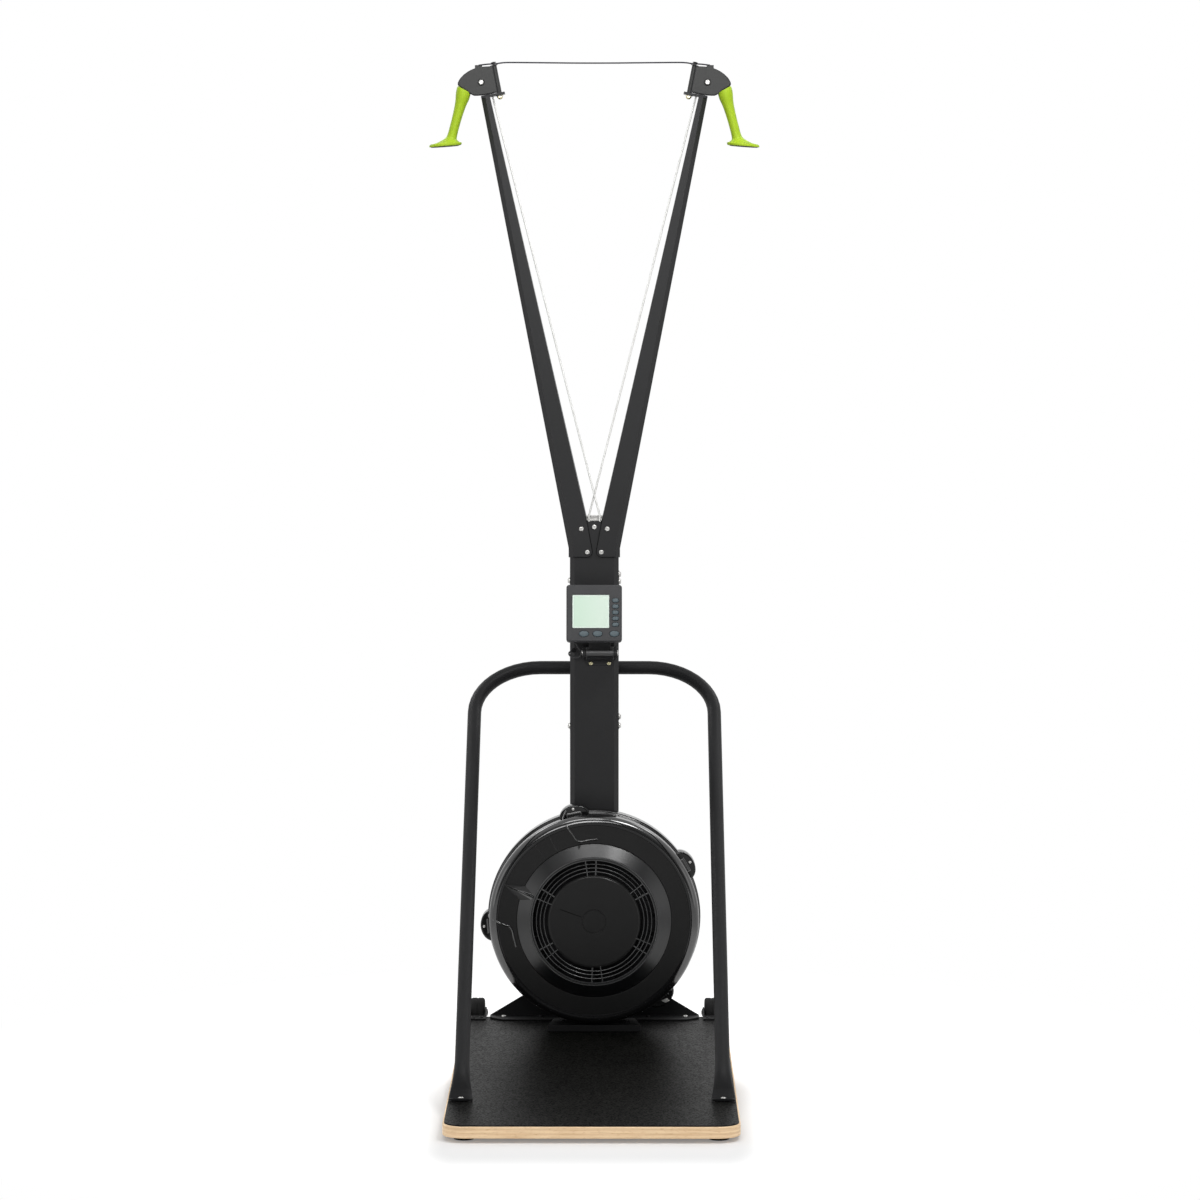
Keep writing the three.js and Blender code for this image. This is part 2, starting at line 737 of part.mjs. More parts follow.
function supportClamp() {
  const front = mastBackY + seatGap;
  const block = box([-clampHalfWidth, clampHalfWidth], [front, tubeBar.y + tubeRadius + clampWrap],
    [tubeBar.z - clampHalfHeight, tubeBar.z + clampHalfHeight]);
  const bore = rod(at(-clampHalfWidth - cutOverrun, tubeBar.y, tubeBar.z),
    at(clampHalfWidth + cutOverrun, tubeBar.y, tubeBar.z), tubeRadius + boreGap, 28);
  return cut(block, bore);
}

// Mast
function mastShape(inset) {
  const half = mastWidth / 2 - inset;
  const front = mastFrontY + inset;
  const back = mastBackY - inset;
  const bevel = mastBevel - inset * (2 - Math.SQRT2);
  return shapeOf([
    [-half + bevel, front], [half - bevel, front], [half, front + bevel],
    [half, back], [-half, back], [-half, front + bevel],
  ]);
}

const returnPulleyX = -(returnSpoolRadius + returnCordRadius) + returnPulleyRadius + returnCordRadius;
const returnY = mastBackY - mastWall - bearingWidth - returnCordRadius;

function mast() {
  const outer = upright(mastShape(0), mastBottomZ, mastTopZ);
  const inner = upright(mastShape(mastWall), mastBottomZ - cutOverrun, mastTopZ + cutOverrun);
  const bearingBore = rod(at(0, mastFrontY - cutOverrun, flywheelZ), at(0, mastBackY + cutOverrun, flywheelZ),
    bearingRadius + boreGap, 24);
  const cableHole = rod(at(cableHoleX, mastFrontY - cutOverrun, cableHoleZ),
    at(cableHoleX, mastFrontY + mastBevel, cableHoleZ), cableHoleRadius, 12);
  const studFront = returnY - returnPulleyWidth / 2 - bracketPlate;
  const stud = rod(at(returnPulleyX, studFront, returnPulleyZ),
    at(returnPulleyX, mastBackY - mastWall / 2, returnPulleyZ), returnStudRadius);
  const anchorX = returnPulleyX + returnPulleyRadius + returnCordRadius;
  const anchor = box([anchorX - anchorSize / 2, anchorX + anchorSize / 2],
    [returnY - anchorSize / 2, mastBackY - mastWall / 2], [anchorZ - anchorSize, anchorZ]);
  return join(cut(outer, inner, bearingBore, cableHole), stud, anchor);
}

// Arms: a tapered box that wraps the top of the mast
function armOuterX(z) {
  const foot = mastWidth / 2 + seatGap + armWall;
  if (z <= armKneeZ) return foot;
  return foot + ((armTopOuterX - foot) * (z - armKneeZ)) / (armTopZ - armKneeZ);
}

function armInnerX(z) {
  if (z <= armForkZ) {
    return armBottomInnerX + ((armForkInnerX - armBottomInnerX) * (z - armBottomZ)) / (armForkZ - armBottomZ);
  }
  return armForkInnerX + ((armTopInnerX - armForkInnerX) * (z - armForkZ)) / (armTopZ - armForkZ);
}

function armBackY(z) {
  const foot = mastBackY + seatGap + armWall;
  const top = mastFrontY - seatGap - armWall + armTopDepth;
  if (z <= armForkZ) return foot;
  return foot + ((top - foot) * (z - armForkZ)) / (armTopZ - armForkZ);
}

function armForm(inset, heights) {
  const front = mastFrontY - seatGap - armWall + inset;
  const bevel = mastBevel - inset * (2 - Math.SQRT2);
  return loft(heights.map((z) => {
    const outer = armOuterX(z) - inset;
    const inner = armInnerX(z) + inset;
    const back = armBackY(z) - inset;
    const thin = Math.min(bevel, (outer - inner) / 2);
    return [at(inner, front, z), at(outer - thin, front, z), at(outer, front + thin, z), at(outer, back, z),
      at(inner, back, z)];
  }));
}

function swivelEar() {
  const top = barrelFoot.clone().addScaledVector(barrelUp, -seatGap);
  const corners = [];
  for (const drop of [0, earThickness]) {
    for (const reach of [-earInnerReach, earOuterReach]) {
      for (const deep of [-earHalfDepth, earHalfDepth]) {
        const corner = top.clone().addScaledVector(barrelUp, -drop).addScaledVector(barrelAcross, reach);
        corner.y += deep;
        corners.push(corner);
      }
    }
  }
  return toSolid(new ConvexGeometry(corners));
}

function arm() {
  const outer = armForm(0, [armBottomZ, armKneeZ, armForkZ, armTopZ]);
  const hollow = armForm(armWall, [armForkZ, armTopZ - armWall]);
  const clear = seatGap;
  const half = mastWidth / 2 + clear;
  const front = mastFrontY - clear;
  const back = mastBackY + clear;
  const socket = upright(shapeOf([
    [-half, front], [half - mastBevel, front], [half, front + mastBevel], [half, back], [-half, back],
  ]), armBottomZ - cutOverrun, armForkZ + seatGap);
  const heelX = armInnerX(armBottomZ);
  const [heelFront, heelBack] = [front - armWall - cutOverrun, back + armWall + cutOverrun];
  const heelCentre = (y) => at(heelX + armHeelRadius, y, armBottomZ + armHeelRadius);
  const heel = cut(
    box([heelX - cutOverrun, heelX + armHeelRadius], [heelFront, heelBack],
      [armBottomZ - cutOverrun, armBottomZ + armHeelRadius]),
    rod(heelCentre(heelFront - cutOverrun), heelCentre(heelBack + cutOverrun), armHeelRadius, 32));
  const pinDrop = barrelFoot.clone().addScaledVector(barrelUp, -pinNutHeight - earThickness - cutOverrun);
  const pinHole = rod(pinDrop, barrelFoot, pinRadius + boreGap);
  const holeReach = earThickness + cutOverrun;
  const cordHole = rod(at(eyelet.x, headY, eyelet.z - holeReach), at(eyelet.x, headY, eyelet.z + holeReach),
    eyeletRadius);
  return cut(join(cut(outer, hollow, socket, heel), swivelEar()), pinHole, cordHole);
}

function cordGuide() {
  const bottom = mastTopZ + seatGap;
  const top = bottom + guideHeight;
  const front = rearCordY + cordRadius + guideCordGap;
  const low = armInnerX(armForkZ) - seatGap;
  const high = armInnerX(top) - seatGap;
  const body = facing(shapeOf([[-low, bottom], [low, bottom], [low, armForkZ], [high, top], [-high, top],
    [-low, armForkZ]]), front, front + guideDepth);
  return body;
}

// Swivel heads, drawn for the right side and mirrored
function alongBarrel(rise) {
  return barrelFoot.clone().addScaledVector(barrelUp, rise);
}

function swivelPin() {
  const nutTop = -seatGap - earThickness - seatGap;
  const headFoot = barrelLength + seatGap;
  const shank = rod(alongBarrel(nutTop - pinNutHeight), alongBarrel(headFoot + pinHeadHeight), pinRadius);
  const nut = rod(alongBarrel(nutTop - pinNutHeight), alongBarrel(nutTop), pinHeadRadius, 6);
  return join(shank, nut, rod(alongBarrel(headFoot), alongBarrel(headFoot + pinHeadHeight), pinHeadRadius));
}

function headPlateShape() {
  const fromBarrel = ([x, z]) => [barrelFoot.x + x, barrelFoot.z + z];
  const shape = new THREE.Shape();
  shape.moveTo(...fromBarrel(plateFoot));
  shape.quadraticCurveTo(...fromBarrel(plateBelly), ...fromBarrel(plateLobe));
  shape.lineTo(...fromBarrel(plateChin));
  shape.lineTo(...fromBarrel(plateNoseFoot));
  shape.quadraticCurveTo(...fromBarrel(plateNose), ...fromBarrel(plateNoseTop));
  shape.quadraticCurveTo(...fromBarrel(plateBrow), ...fromBarrel(plateCrownFront));
  shape.lineTo(...fromBarrel(plateCrown));
  return shape;
}

function headWeb(halfDepth) {
  const near = barrelRadius - webBite;
  const corners = [];
  for (const rise of [webFootRise, barrelLength]) {
    for (const reach of [near, near + webThickness]) {
      for (const deep of [-halfDepth, halfDepth]) {
        corners.push(alongBarrel(rise).addScaledVector(barrelAcross, reach).add(at(0, deep, 0)));
      }
    }
  }
  return toSolid(new ConvexGeometry(corners));
}

function headFrame() {
  const inner = headPlateGap / 2;
  const outer = inner + headPlate;
  const plates = [-outer, inner].map((from) => (
    facing(headPlateShape(), headY + from, headY + from + headPlate)));
  const tab = box([tabCentreX - tabHalfWidth, tabCentreX + tabHalfWidth],
    [headY - outer, headY + outer], [tabTopZ - tabThickness, tabTopZ]);
  const cheeks = [-outer, inner].map((from) => box([tabCentreX - tabHalfWidth, tabCentreX + tabHalfWidth],
    [headY + from, headY + from + headPlate], [tabTopZ - tabHeight, tabTopZ]));
  const barrel = rod(barrelFoot, alongBarrel(barrelLength), barrelRadius, 20);
  const bore = rod(alongBarrel(-cutOverrun), alongBarrel(barrelLength + cutOverrun), pinRadius + boreGap);
  const axleBore = rod(at(pulleyCentreX, headY - outer - cutOverrun, pulleyCentreZ),
    at(pulleyCentreX, headY + outer + cutOverrun, pulleyCentreZ), axleRadius + boreGap, 20);
  return cut(join(...plates, ...cheeks, tab, headWeb(outer), barrel), bore, axleBore);
}

function headPulley() {
  const half = pulleyWidth / 2;
  const bore = axleRadius + boreGap;
  return turned([
    [bore, -half], [pulleyRadius, -half], [pulleyRadius, -half + pulleyLip],
    [pulleyGrooveRadius, -cordRadius], [pulleyGrooveRadius, cordRadius],
    [pulleyRadius, half - pulleyLip], [pulleyRadius, half], [bore, half],
  ], at(pulleyCentreX, headY, pulleyCentreZ), 24);
}

function pulleyAxle() {
  const reach = headPlateGap / 2 + headPlate + seatGap;
  const along = (y) => at(pulleyCentreX, headY + y, pulleyCentreZ);
  const end = reach + axleHeadHeight;
  return join(rod(along(-end), along(end), axleRadius), rod(along(-end), along(-reach), axleHeadRadius),
    rod(along(reach), along(end), axleHeadRadius));
}

// Handle: oval rings down the grip, from the slanted top to the level flare
const handleTopX = pulleyCentreX + pulleyRadius + handlePulleyGap;
const handleTop = at(handleTopX, headY, barrelFootZ + handleRise);
const handleDown = at(Math.sin(handleTilt), 0, -Math.cos(handleTilt));
const handleAcross = at(Math.cos(handleTilt), 0, Math.sin(handleTilt));

function handleRing(k, sides) {
  const slant = topSlantShares[k] * handleTopSlant - levelShares[k] * handleTilt;
  const centre = handleTop.clone().addScaledVector(handleDown, handleRunShares[k] * handleLength)
    .addScaledVector(handleAcross, handleShifts[k]);
  const ring = [];
  for (let side = 0; side < sides; side += 1) {
    const turn = (-2 * Math.PI * side) / sides;
    const across = (handleWidths[k] / 2) * Math.cos(turn);
    const point = centre.clone().addScaledVector(handleAcross, across);
    point.addScaledVector(handleDown, -across * Math.tan(slant));
    point.y += (handleDepths[k] / 2) * Math.sin(turn);
    ring.push(point);
  }
  return ring;
}

function handle() {
  const body = loft(handleRunShares.map((share, k) => handleRing(k, 20)));
  const bore = rod(handleTop.clone().addScaledVector(handleDown, -handleWidths[0] / 2),
    handleTop.clone().addScaledVector(handleDown, handleBoreDepth), cordRadius + handleBoreGap, 12);
  return cut(body, bore);
}

// Cords, with their points chosen along the real route
const cordTurnRadius = pulleyGrooveRadius + cordRadius + seatGap;

function overPulley(turn) {
  const x = pulleyCentreX + cordTurnRadius * Math.cos(turn);
  return at(x, headY, pulleyCentreZ + cordTurnRadius * Math.sin(turn));
}

function headCord() {
  const points = [at(overPulley(pulleyTurnStart).x, headY, headCordFootZ)];
  const turnSteps = 9;
  for (let k = 0; k <= turnSteps; k += 1) {
    points.push(overPulley(pulleyTurnStart + ((pulleyTurnEnd - pulleyTurnStart) * k) / turnSteps));
  }
  points.push(handleTop, handleTop.clone().addScaledVector(handleDown, handleBoreDepth / 2));
  return tubeAlong(points, cordRadius);
}

function driveCord(side, guideY, spoolY) {
  const spoolX = spoolRadius + cordRadius + seatGap;
  return tubeAlong([
    at(side * overPulley(pulleyTurnStart).x, headY, headCordFootZ - seatGap),
    at(side * eyelet.x, headY, eyelet.z),
    at(-side * guideCrossX, guideY, mastTopZ + guideHeight),
    at(-side * guideCrossX, guideY, mastTopZ - guideHeight),
    at(spoolX, spoolY, flywheelZ + spoolFlangeRadius),
    at(spoolX, spoolY, flywheelZ),
  ], cordRadius);
}

const pinCrown = alongBarrel(barrelLength + seatGap + pinHeadHeight);
const tieZ = pinCrown.z + pinHeadRadius * Math.sin(barrelTilt) + tieCordRadius + seatGap;

function tieCord() {
  const reach = pinCrown.x - tieCordRadius - seatGap;
  return rod(at(-reach, headY, tieZ), at(reach, headY, tieZ), tieCordRadius, 8);
}

function tieCordEnd() {
  return rod(at(pinCrown.x + tieCordRadius, headY, tieZ),
    at(tabCentreX, headY, tabTopZ + tieCordRadius + seatGap), tieCordRadius, 8);
}

// Flywheel housing: profiles of radius and depth, with the depth counted from the mast towards the user
function turnedFromMast(profile, steps = roundSteps) {
  return turned(profile.map(([radius, depth]) => [radius, -depth]), shaftPlace, steps);
}

// A solid drawn around the shaft at the right, with X outwards and Y as depth, turned to its angle
function aroundShaft(geometry, angle) {
  geometry.rotateY(-angle);
  geometry.translate(shaftPlace.x, shaftPlace.y, shaftPlace.z);
  return toSolid(geometry);
}

function ringLug(angle, backDepth, frontDepth) {
  const shape = new THREE.Shape();
  shape.absellipse(housingRadius + lugReach - lugSink, 0, lugSink, lugHalfLength, 0, 2 * Math.PI);
  const geometry = slab(shape, frontDepth - backDepth);
  geometry.rotateX(Math.PI / 2);
  geometry.translate(0, -backDepth, 0);
  return aroundShaft(geometry, angle);
}

function housingRear() {
  const hollowRadius = housingRadius - housingWall;
  const hollowBack = seatGap + housingWall;
  const outer = turnedFromMast([
    [0, seatGap], [housingRadius - housingRearBevel, seatGap], [housingRadius, seatGap + housingRearBevel],
    [housingRadius, housingRearDepth], [0, housingRearDepth],
  ]);
  const hollow = turnedFromMast([
    [0, hollowBack], [hollowRadius - housingRearBevel, hollowBack],
    [hollowRadius, hollowBack + housingRearBevel], [hollowRadius, housingRearDepth + cutOverrun],
    [0, housingRearDepth + cutOverrun],
  ]);
  const shaftHole = turnedFromMast([[0, -cutOverrun], [housingShaftHole, -cutOverrun],
    [housingShaftHole, housingRearDepth], [0, housingRearDepth]], 24);
  const lugs = lugAngles.map((angle) => ringLug(angle, housingRearDepth - lugRearDepth, housingRearDepth));
  return cut(join(outer, ...lugs), hollow, shaftHole);
}

function shoulder(radius, depth, size, steps) {
  const points = [];
  for (let k = 0; k <= steps; k += 1) {
    const turn = (Math.PI / 2) * (k / steps);
    points.push([radius - size * (1 - Math.cos(turn)), depth - size + size * Math.sin(turn)]);
  }
  return points;
}

function housingFront() {
  const start = housingRearDepth + seatGap;
  const face = housingFaceDepth;
  const seat = face - housingSeatDepth;
  const inside = housingFrontRadius - housingWall;
  const outer = turnedFromMast([[0, start], [housingFrontRadius, start],
    ...shoulder(housingFrontRadius, face, housingShoulder, 4), [0, face]]);
  const hollow = turnedFromMast([[0, start - cutOverrun], [inside, start - cutOverrun],
    ...shoulder(inside, seat - housingWall, housingShoulder - housingWall, 2), [0, seat - housingWall]]);
  const mouth = turnedFromMast([[0, seat], [housingMouthRadius, seat],
    [housingMouthRadius, face + cutOverrun], [0, face + cutOverrun]]);
  const seatBack = seat - housingWall - cutOverrun;
  const seatHole = turnedFromMast([[0, seatBack], [housingSeatRadius, seatBack],
    [housingSeatRadius, face], [0, face]]);
  const lugs = lugAngles.map((angle) => ringLug(angle, start, start + lugFrontDepth));
  return cut(join(outer, ...lugs), hollow, mouth, seatHole);
}

function polar(radius, angle, depth) {
  return at(radius * Math.cos(angle), -depth, radius * Math.sin(angle)).add(shaftPlace);
}

function damperLever() {
  const face = housingFaceDepth + leverFaceGap;
  const foot = housingMouthRadius - damperClearance;
  const sides = [-leverHalfAngle, leverHalfAngle];
  return toSolid(new ConvexGeometry([
    polar(damperConeRadius, leverAngle, damperConeDepth),
    polar(leverTipRadius - leverHeight, leverAngle, face + leverHeight),
    polar(leverTipRadius, leverAngle, face),
    ...sides.map((side) => polar(foot, leverAngle + side, face)),
    ...sides.map((side) => polar(damperConeRadius, leverAngle + side / 2, damperConeDepth - damperWall)),
  ]));
}

function damper() {
  const foot = housingMouthRadius - damperClearance;
  const footDepth = housingFaceDepth - housingSeatDepth + seatGap;
  const lipInner = grilleOuterRadius;
  const top = damperConeDepth;
  const barBack = top - grilleBarDepth;
  const cone = turnedFromMast([
    [foot, footDepth], [foot, housingFaceDepth + leverFaceGap], [damperConeRadius, top],
    [damperConeRadius - damperLipHeight, top + damperLipHeight],
    [lipInner + damperLipHeight, top + damperLipHeight],
    [lipInner, top], [lipInner, barBack], [damperConeRadius - damperWall, barBack],
    [housingSeatRadius + seatGap, footDepth],
  ]);
  const band = (inner, outer, steps) => (
    turnedFromMast([[inner, barBack], [outer, barBack], [outer, top], [inner, top]], steps));
  const half = grilleBarWidth / 2;
  const rings = grilleRingShares.map((share) => {
    const radius = grilleDiscRadius + share * grilleWidth;
    return band(radius - half, radius + half, 28);
  });
  const spokes = [];
  const spokeCount = 6;
  const spokeReach = lipInner + damperLipHeight - grilleDiscRadius + grilleBarWidth;
  for (let k = 0; k < spokeCount; k += 1) {
    const geometry = new THREE.BoxGeometry(spokeReach, grilleBarDepth, grilleBarWidth);
    geometry.translate(grilleDiscRadius - grilleBarWidth + spokeReach / 2, -(top + barBack) / 2, 0);
    spokes.push(aroundShaft(geometry, leverAngle + (2 * Math.PI * k) / spokeCount));
  }
  return join(cone, band(0, grilleDiscRadius, roundSteps), ...rings, ...spokes, damperLever());
}

// Air flywheel: a disc with radial blades, a hub and an outer rim band
function flywheel() {
  const bore = shaftRadius + boreGap;
  const discFront = fanBackDepth + fanDiscThickness;
  const rimFront = fanBackDepth + fanRimDepth;
  const rimInner = fanRadius - fanRimWidth;
  const disc = turnedFromMast([[bore, fanBackDepth], [fanRadius, fanBackDepth], [fanRadius, rimFront],
    [rimInner, rimFront], [rimInner, discFront], [fanHubRadius, discFront],
    [fanHubRadius, fanFrontDepth], [bore, fanFrontDepth]]);
  const blades = [];
  const bladeCount = 20;
  const bladeLength = fanBladeLength - fanRimWidth / 2;
  const bladeBack = fanBackDepth + fanDiscThickness / 2;
  for (let k = 0; k < bladeCount; k += 1) {
    const geometry = new THREE.BoxGeometry(bladeLength, fanFrontDepth - bladeBack, fanBladeThickness);
    const bladeCentre = fanRadius - (fanBladeLength + fanRimWidth / 2) / 2;
    geometry.translate(bladeCentre, -(fanFrontDepth + bladeBack) / 2, 0);
    blades.push(aroundShaft(geometry, (2 * Math.PI * k) / bladeCount));
  }
  return join(disc, ...blades);
}

function driveShaft() {
  return rod(at(0, mastFrontY - shaftFrontDepth, flywheelZ), at(0, mastBackY, flywheelZ), shaftRadius, 24);
}

function bearing(frontY) {
  const bore = shaftRadius + boreGap;
  return turned([[bore, 0], [bearingRadius, 0], [bearingRadius, bearingWidth], [bore, bearingWidth]],
    at(0, frontY, flywheelZ), 24);
}

function spoolProfile() {
  const half = spoolWidth / 2;
  const bore = shaftRadius + boreGap;
  return [
    [bore, -half - spoolFlange], [spoolFlangeRadius, -half - spoolFlange], [spoolFlangeRadius, -half],
    [spoolRadius, -half], [spoolRadius, half], [spoolFlangeRadius, half],
    [spoolFlangeRadius, half + spoolFlange],
  ];
}

function frontSpool() {
  const end = spoolWidth / 2 + spoolFlange;
  return turned([...spoolProfile(), [shaftRadius + boreGap, end]], at(0, frontSpoolY, flywheelZ), 24);
}

// The rear spool also carries the drum of the return cord
function rearSpool() {
  const start = spoolWidth / 2 + spoolFlange;
  const end = returnY - rearSpoolY + returnSpoolWidth / 2;
  const drum = [[returnSpoolRadius, start], [returnSpoolRadius, end], [shaftRadius + boreGap, end]];
  return turned([...spoolProfile(), ...drum], at(0, rearSpoolY, flywheelZ), 24);
}

function returnPulley() {
  const half = returnPulleyWidth / 2;
  const bore = returnStudRadius + boreGap;
  const rim = returnPulleyRadius + returnCordRadius;
  return turned([[bore, -half], [rim, -half], [returnPulleyRadius, -returnCordRadius],
    [returnPulleyRadius, returnCordRadius], [rim, half], [bore, half]],
  at(returnPulleyX, returnY, returnPulleyZ), 24);
}

function returnCord() {
  const reach = returnPulleyRadius + returnCordRadius + seatGap;
  const points = [at(returnPulleyX - reach, returnY, flywheelZ)];
  const turnSteps = 10;
  for (let k = 0; k <= turnSteps; k += 1) {
    const turn = Math.PI * (1 - k / turnSteps);
    points.push(at(returnPulleyX + reach * Math.cos(turn), returnY, returnPulleyZ + reach * Math.sin(turn)));
  }
  points.push(at(returnPulleyX + reach, returnY, anchorZ + seatGap));
  return tubeAlong(points, returnCordRadius);
}

// Monitor: the case is drawn upright around the middle of its face, and its group leans it back
const monitorFace = at(0, mastFrontY - monitorFaceSetback, monitorCentreZ);
const hinge = at(hingeCentreX, mastFrontY - hingeSetback, hingeZ);

function roundedShape(width, height, radius, x = 0, z = 0) {
  const shape = new THREE.Shape();
  const right = x + width / 2 - radius;
  const left = x - width / 2 + radius;
  const top = z + height / 2 - radius;
  const bottom = z - height / 2 + radius;
  shape.moveTo(left, bottom - radius);
  shape.absarc(right, bottom, radius, -Math.PI / 2, 0);
  shape.absarc(right, top, radius, 0, Math.PI / 2);
  shape.absarc(left, top, radius, Math.PI / 2, Math.PI);
  shape.absarc(left, bottom, radius, Math.PI, 1.5 * Math.PI);
  return shape;
}

function ovalShape(width, height, x, z) {
  const shape = new THREE.Shape();
  shape.absellipse(x, z, width / 2, height / 2, 0, 2 * Math.PI);
  return shape;
}

function keyPlaces() {
  const sideKeyCount = 5;
  const places = [];
  for (let k = 0; k < sideKeyCount; k += 1) {
    const x = monitorWidth / 2 - sideKeyInset;
    const z = monitorHeight * (sideKeyTopShare - k * sideKeyPitchShare);
    places.push({ name: `side_key_${k + 1}`, x, z, width: sideKeyWidth, height: sideKeyHeight });
  }
  bottomKeyShares.forEach((share, k) => {
    const x = share * monitorWidth;
    const z = bottomKeyInset - monitorHeight / 2;
    places.push({ name: `bottom_key_${k + 1}`, x, z, width: bottomKeyWidth, height: bottomKeyHeight });
  });
  return places;
}

function monitorCase() {
  const body = new THREE.ExtrudeGeometry(roundedShape(monitorWidth, monitorHeight, monitorCorner), {
    depth: monitorDepth - 2 * monitorEdgeBevel,
    bevelThickness: monitorEdgeBevel,
    bevelSize: monitorEdgeBevel,
    bevelOffset: -monitorEdgeBevel,
    bevelSegments: 1,
    curveSegments: 4,
  });
  body.rotateX(Math.PI / 2);
  body.translate(0, monitorDepth - monitorEdgeBevel, 0);
  const recess = facing(roundedShape(screenWidth + 2 * seatGap, screenHeight + 2 * seatGap, screenCorner,
    screenCentreX, screenCentreRise), -cutOverrun, screenRecess);
  const pocketDepth = keyHeight - keyProud + keyTravel + seatGap;
  const pockets = keyPlaces().map(({ x, z, width, height }) => facing(
    ovalShape(width + 2 * boreGap, height + 2 * boreGap, x, z), -cutOverrun, pocketDepth));
  return cut(toSolid(body), recess, ...pockets);
}

function monitorScreen() {
  const back = screenRecess - seatGap;
  return facing(roundedShape(screenWidth, screenHeight, screenCorner, screenCentreX, screenCentreRise),
    back - screenThickness, back);
}

function key({ x, z, width, height }) {
  return facing(ovalShape(width, height, x, z), -keyProud, keyHeight - keyProud);
}

function monitorBracket() {
  const back = mastFrontY - seatGap;
  const ear = hingeLength / 2 + seatGap;
  const half = ear + hingeEar;
  const plate = facing(shapeOf([
    [hinge.x - bracketBottomHalfWidth, hingeZ - bracketBottomDrop],
    [hinge.x + bracketBottomHalfWidth, hingeZ - bracketBottomDrop],
    [hinge.x + half, hingeZ - hingeRadius / 2], [hinge.x + half, hingeZ + hingeRadius],
    [hinge.x - half, hingeZ + hingeRadius], [hinge.x - half, hingeZ - hingeRadius / 2],
  ]), back - monitorPlate, back);
  const earShape = new THREE.Shape();
  earShape.moveTo(back, hingeZ - hingeRadius);
  earShape.lineTo(back, hingeZ + hingeRadius);
  earShape.lineTo(hinge.y, hingeZ + hingeRadius);
  earShape.absarc(hinge.y, hingeZ, hingeRadius, Math.PI / 2, 1.5 * Math.PI);
  const ears = [hinge.x - half, hinge.x + ear].map((x) => sideways(earShape, x, x + hingeEar));
  const pin = rod(at(hinge.x - half, hinge.y, hingeZ), at(hinge.x + half, hinge.y, hingeZ), hingePinRadius);
  return join(plate, ...ears, pin);
}

// The arm is a barrel on the hinge, a neck, and a plate up the back of the case
function monitorArm() {
  const half = hingeLength / 2;
  const [left, right] = [hinge.x - half, hinge.x + half];
  const barrel = rod(at(left, hinge.y, hingeZ), at(right, hinge.y, hingeZ), hingeRadius, 24);
  const bore = rod(at(left - cutOverrun, hinge.y, hingeZ), at(right + cutOverrun, hinge.y, hingeZ),
    hingePinRadius + boreGap);
  const up = at(0, Math.sin(monitorTilt), Math.cos(monitorTilt));
  const away = at(0, Math.cos(monitorTilt), -Math.sin(monitorTilt));
  const plateFront = monitorFace.clone().addScaledVector(away, monitorDepth + seatGap);
  const low = plateFront.clone().addScaledVector(up, -armPlateDrop);
  const high = plateFront.clone().addScaledVector(up, armPlateRise - armPlateDrop);
  const plate = shapeOf([low, high, high.clone().addScaledVector(away, armPlate),
    low.clone().addScaledVector(away, armPlate)].map(({ y, z }) => [y, z]));
  const neck = shapeOf([[low.y, low.z], [hinge.y, hingeZ - hingeRadius / 2],
    [hinge.y + hingeRadius / 2, hingeZ], [low.y + armPlate, low.z + armNeckRise]]);
  const wide = [hinge.x - armPlateHalfWidth, hinge.x + armPlateHalfWidth];
  return cut(join(barrel, sideways(plate, ...wide), sideways(neck, ...wide)), bore);
}

function monitorCable() {
  const route = cableRoute.map(([x, depth, rise]) => at(x, mastFrontY - depth, hingeZ + rise));
  return tubeAlong(new THREE.CatmullRomCurve3(route, false, 'centripetal').getPoints(24), cableRadius);
}

// Assembly
const group = new THREE.Group();
group.add(
  named('deck_board', deckBoard(), 'wood'),
  named('deck_surface', deckSurface(), 'deckSurface'),
  ...pair('foot_front', foot(deckFrontY + footEndInset), 'rubber'),
  ...pair('foot_rear', foot(deckBackY - footEndInset), 'rubber'),
  ...pair('wheel_bracket', wheelBracket(), 'blackPaint'),
  ...pair('transport_wheel', transportWheel(), 'rubber'),
  named('mast_gusset', mastGusset(), 'blackPaint'),
  named('mast_foot_bracket', mastFootBracket(), 'blackPaint'),
  named('support_tube', supportTube(), 'blackPaint'),
  named('support_clamp', supportClamp(), 'blackPaint'),
  named('mast', mast(), 'blackPaint'),
  ...pair('arm', arm(), 'blackPaint'),
  named('cord_guide', cordGuide(), 'steel'),
  ...pair('swivel_pin', swivelPin(), 'steel'),
  ...pair('head_frame', headFrame(), 'blackPaint'),
  ...pair('head_pulley', headPulley(), 'rubber'),
  ...pair('pulley_axle', pulleyAxle(), 'steel'),
  ...pair('handle', handle(), 'limeGrip'),
  ...pair('head_cord', headCord(), 'cordWhite'),
  named('drive_cord_right', driveCord(1, rearCordY, rearSpoolY), 'cordWhite'),
  named('drive_cord_left', driveCord(-1, frontCordY, frontSpoolY), 'cordWhite'),
  named('tie_cord', tieCord(), 'cordBlack'),
  ...pair('tie_cord_end', tieCordEnd(), 'cordBlack'),
  named('housing_rear', housingRear(), 'glossBlack'),
  named('housing_front', housingFront(), 'glossBlack'),
  named('damper', damper(), 'glossBlack'),
  named('flywheel', flywheel(), 'fanSteel'),
  named('drive_shaft', driveShaft(), 'steel'),
  named('bearing_front', bearing(mastFrontY - bearingProud), 'steel'),
  named('bearing_rear', bearing(mastBackY - bearingWidth + bearingProud), 'steel'),
  named('spool_front', frontSpool(), 'rubber'),
  named('spool_rear', rearSpool(), 'rubber'),
  named('return_pulley', returnPulley(), 'rubber'),
  named('return_cord', returnCord(), 'cordBlack'),
  named('monitor_bracket', monitorBracket(), 'blackPaint'),
  named('monitor_arm', monitorArm(), 'blackPaint'),
  named('monitor_cable', monitorCable(), 'cordBlack'),
);

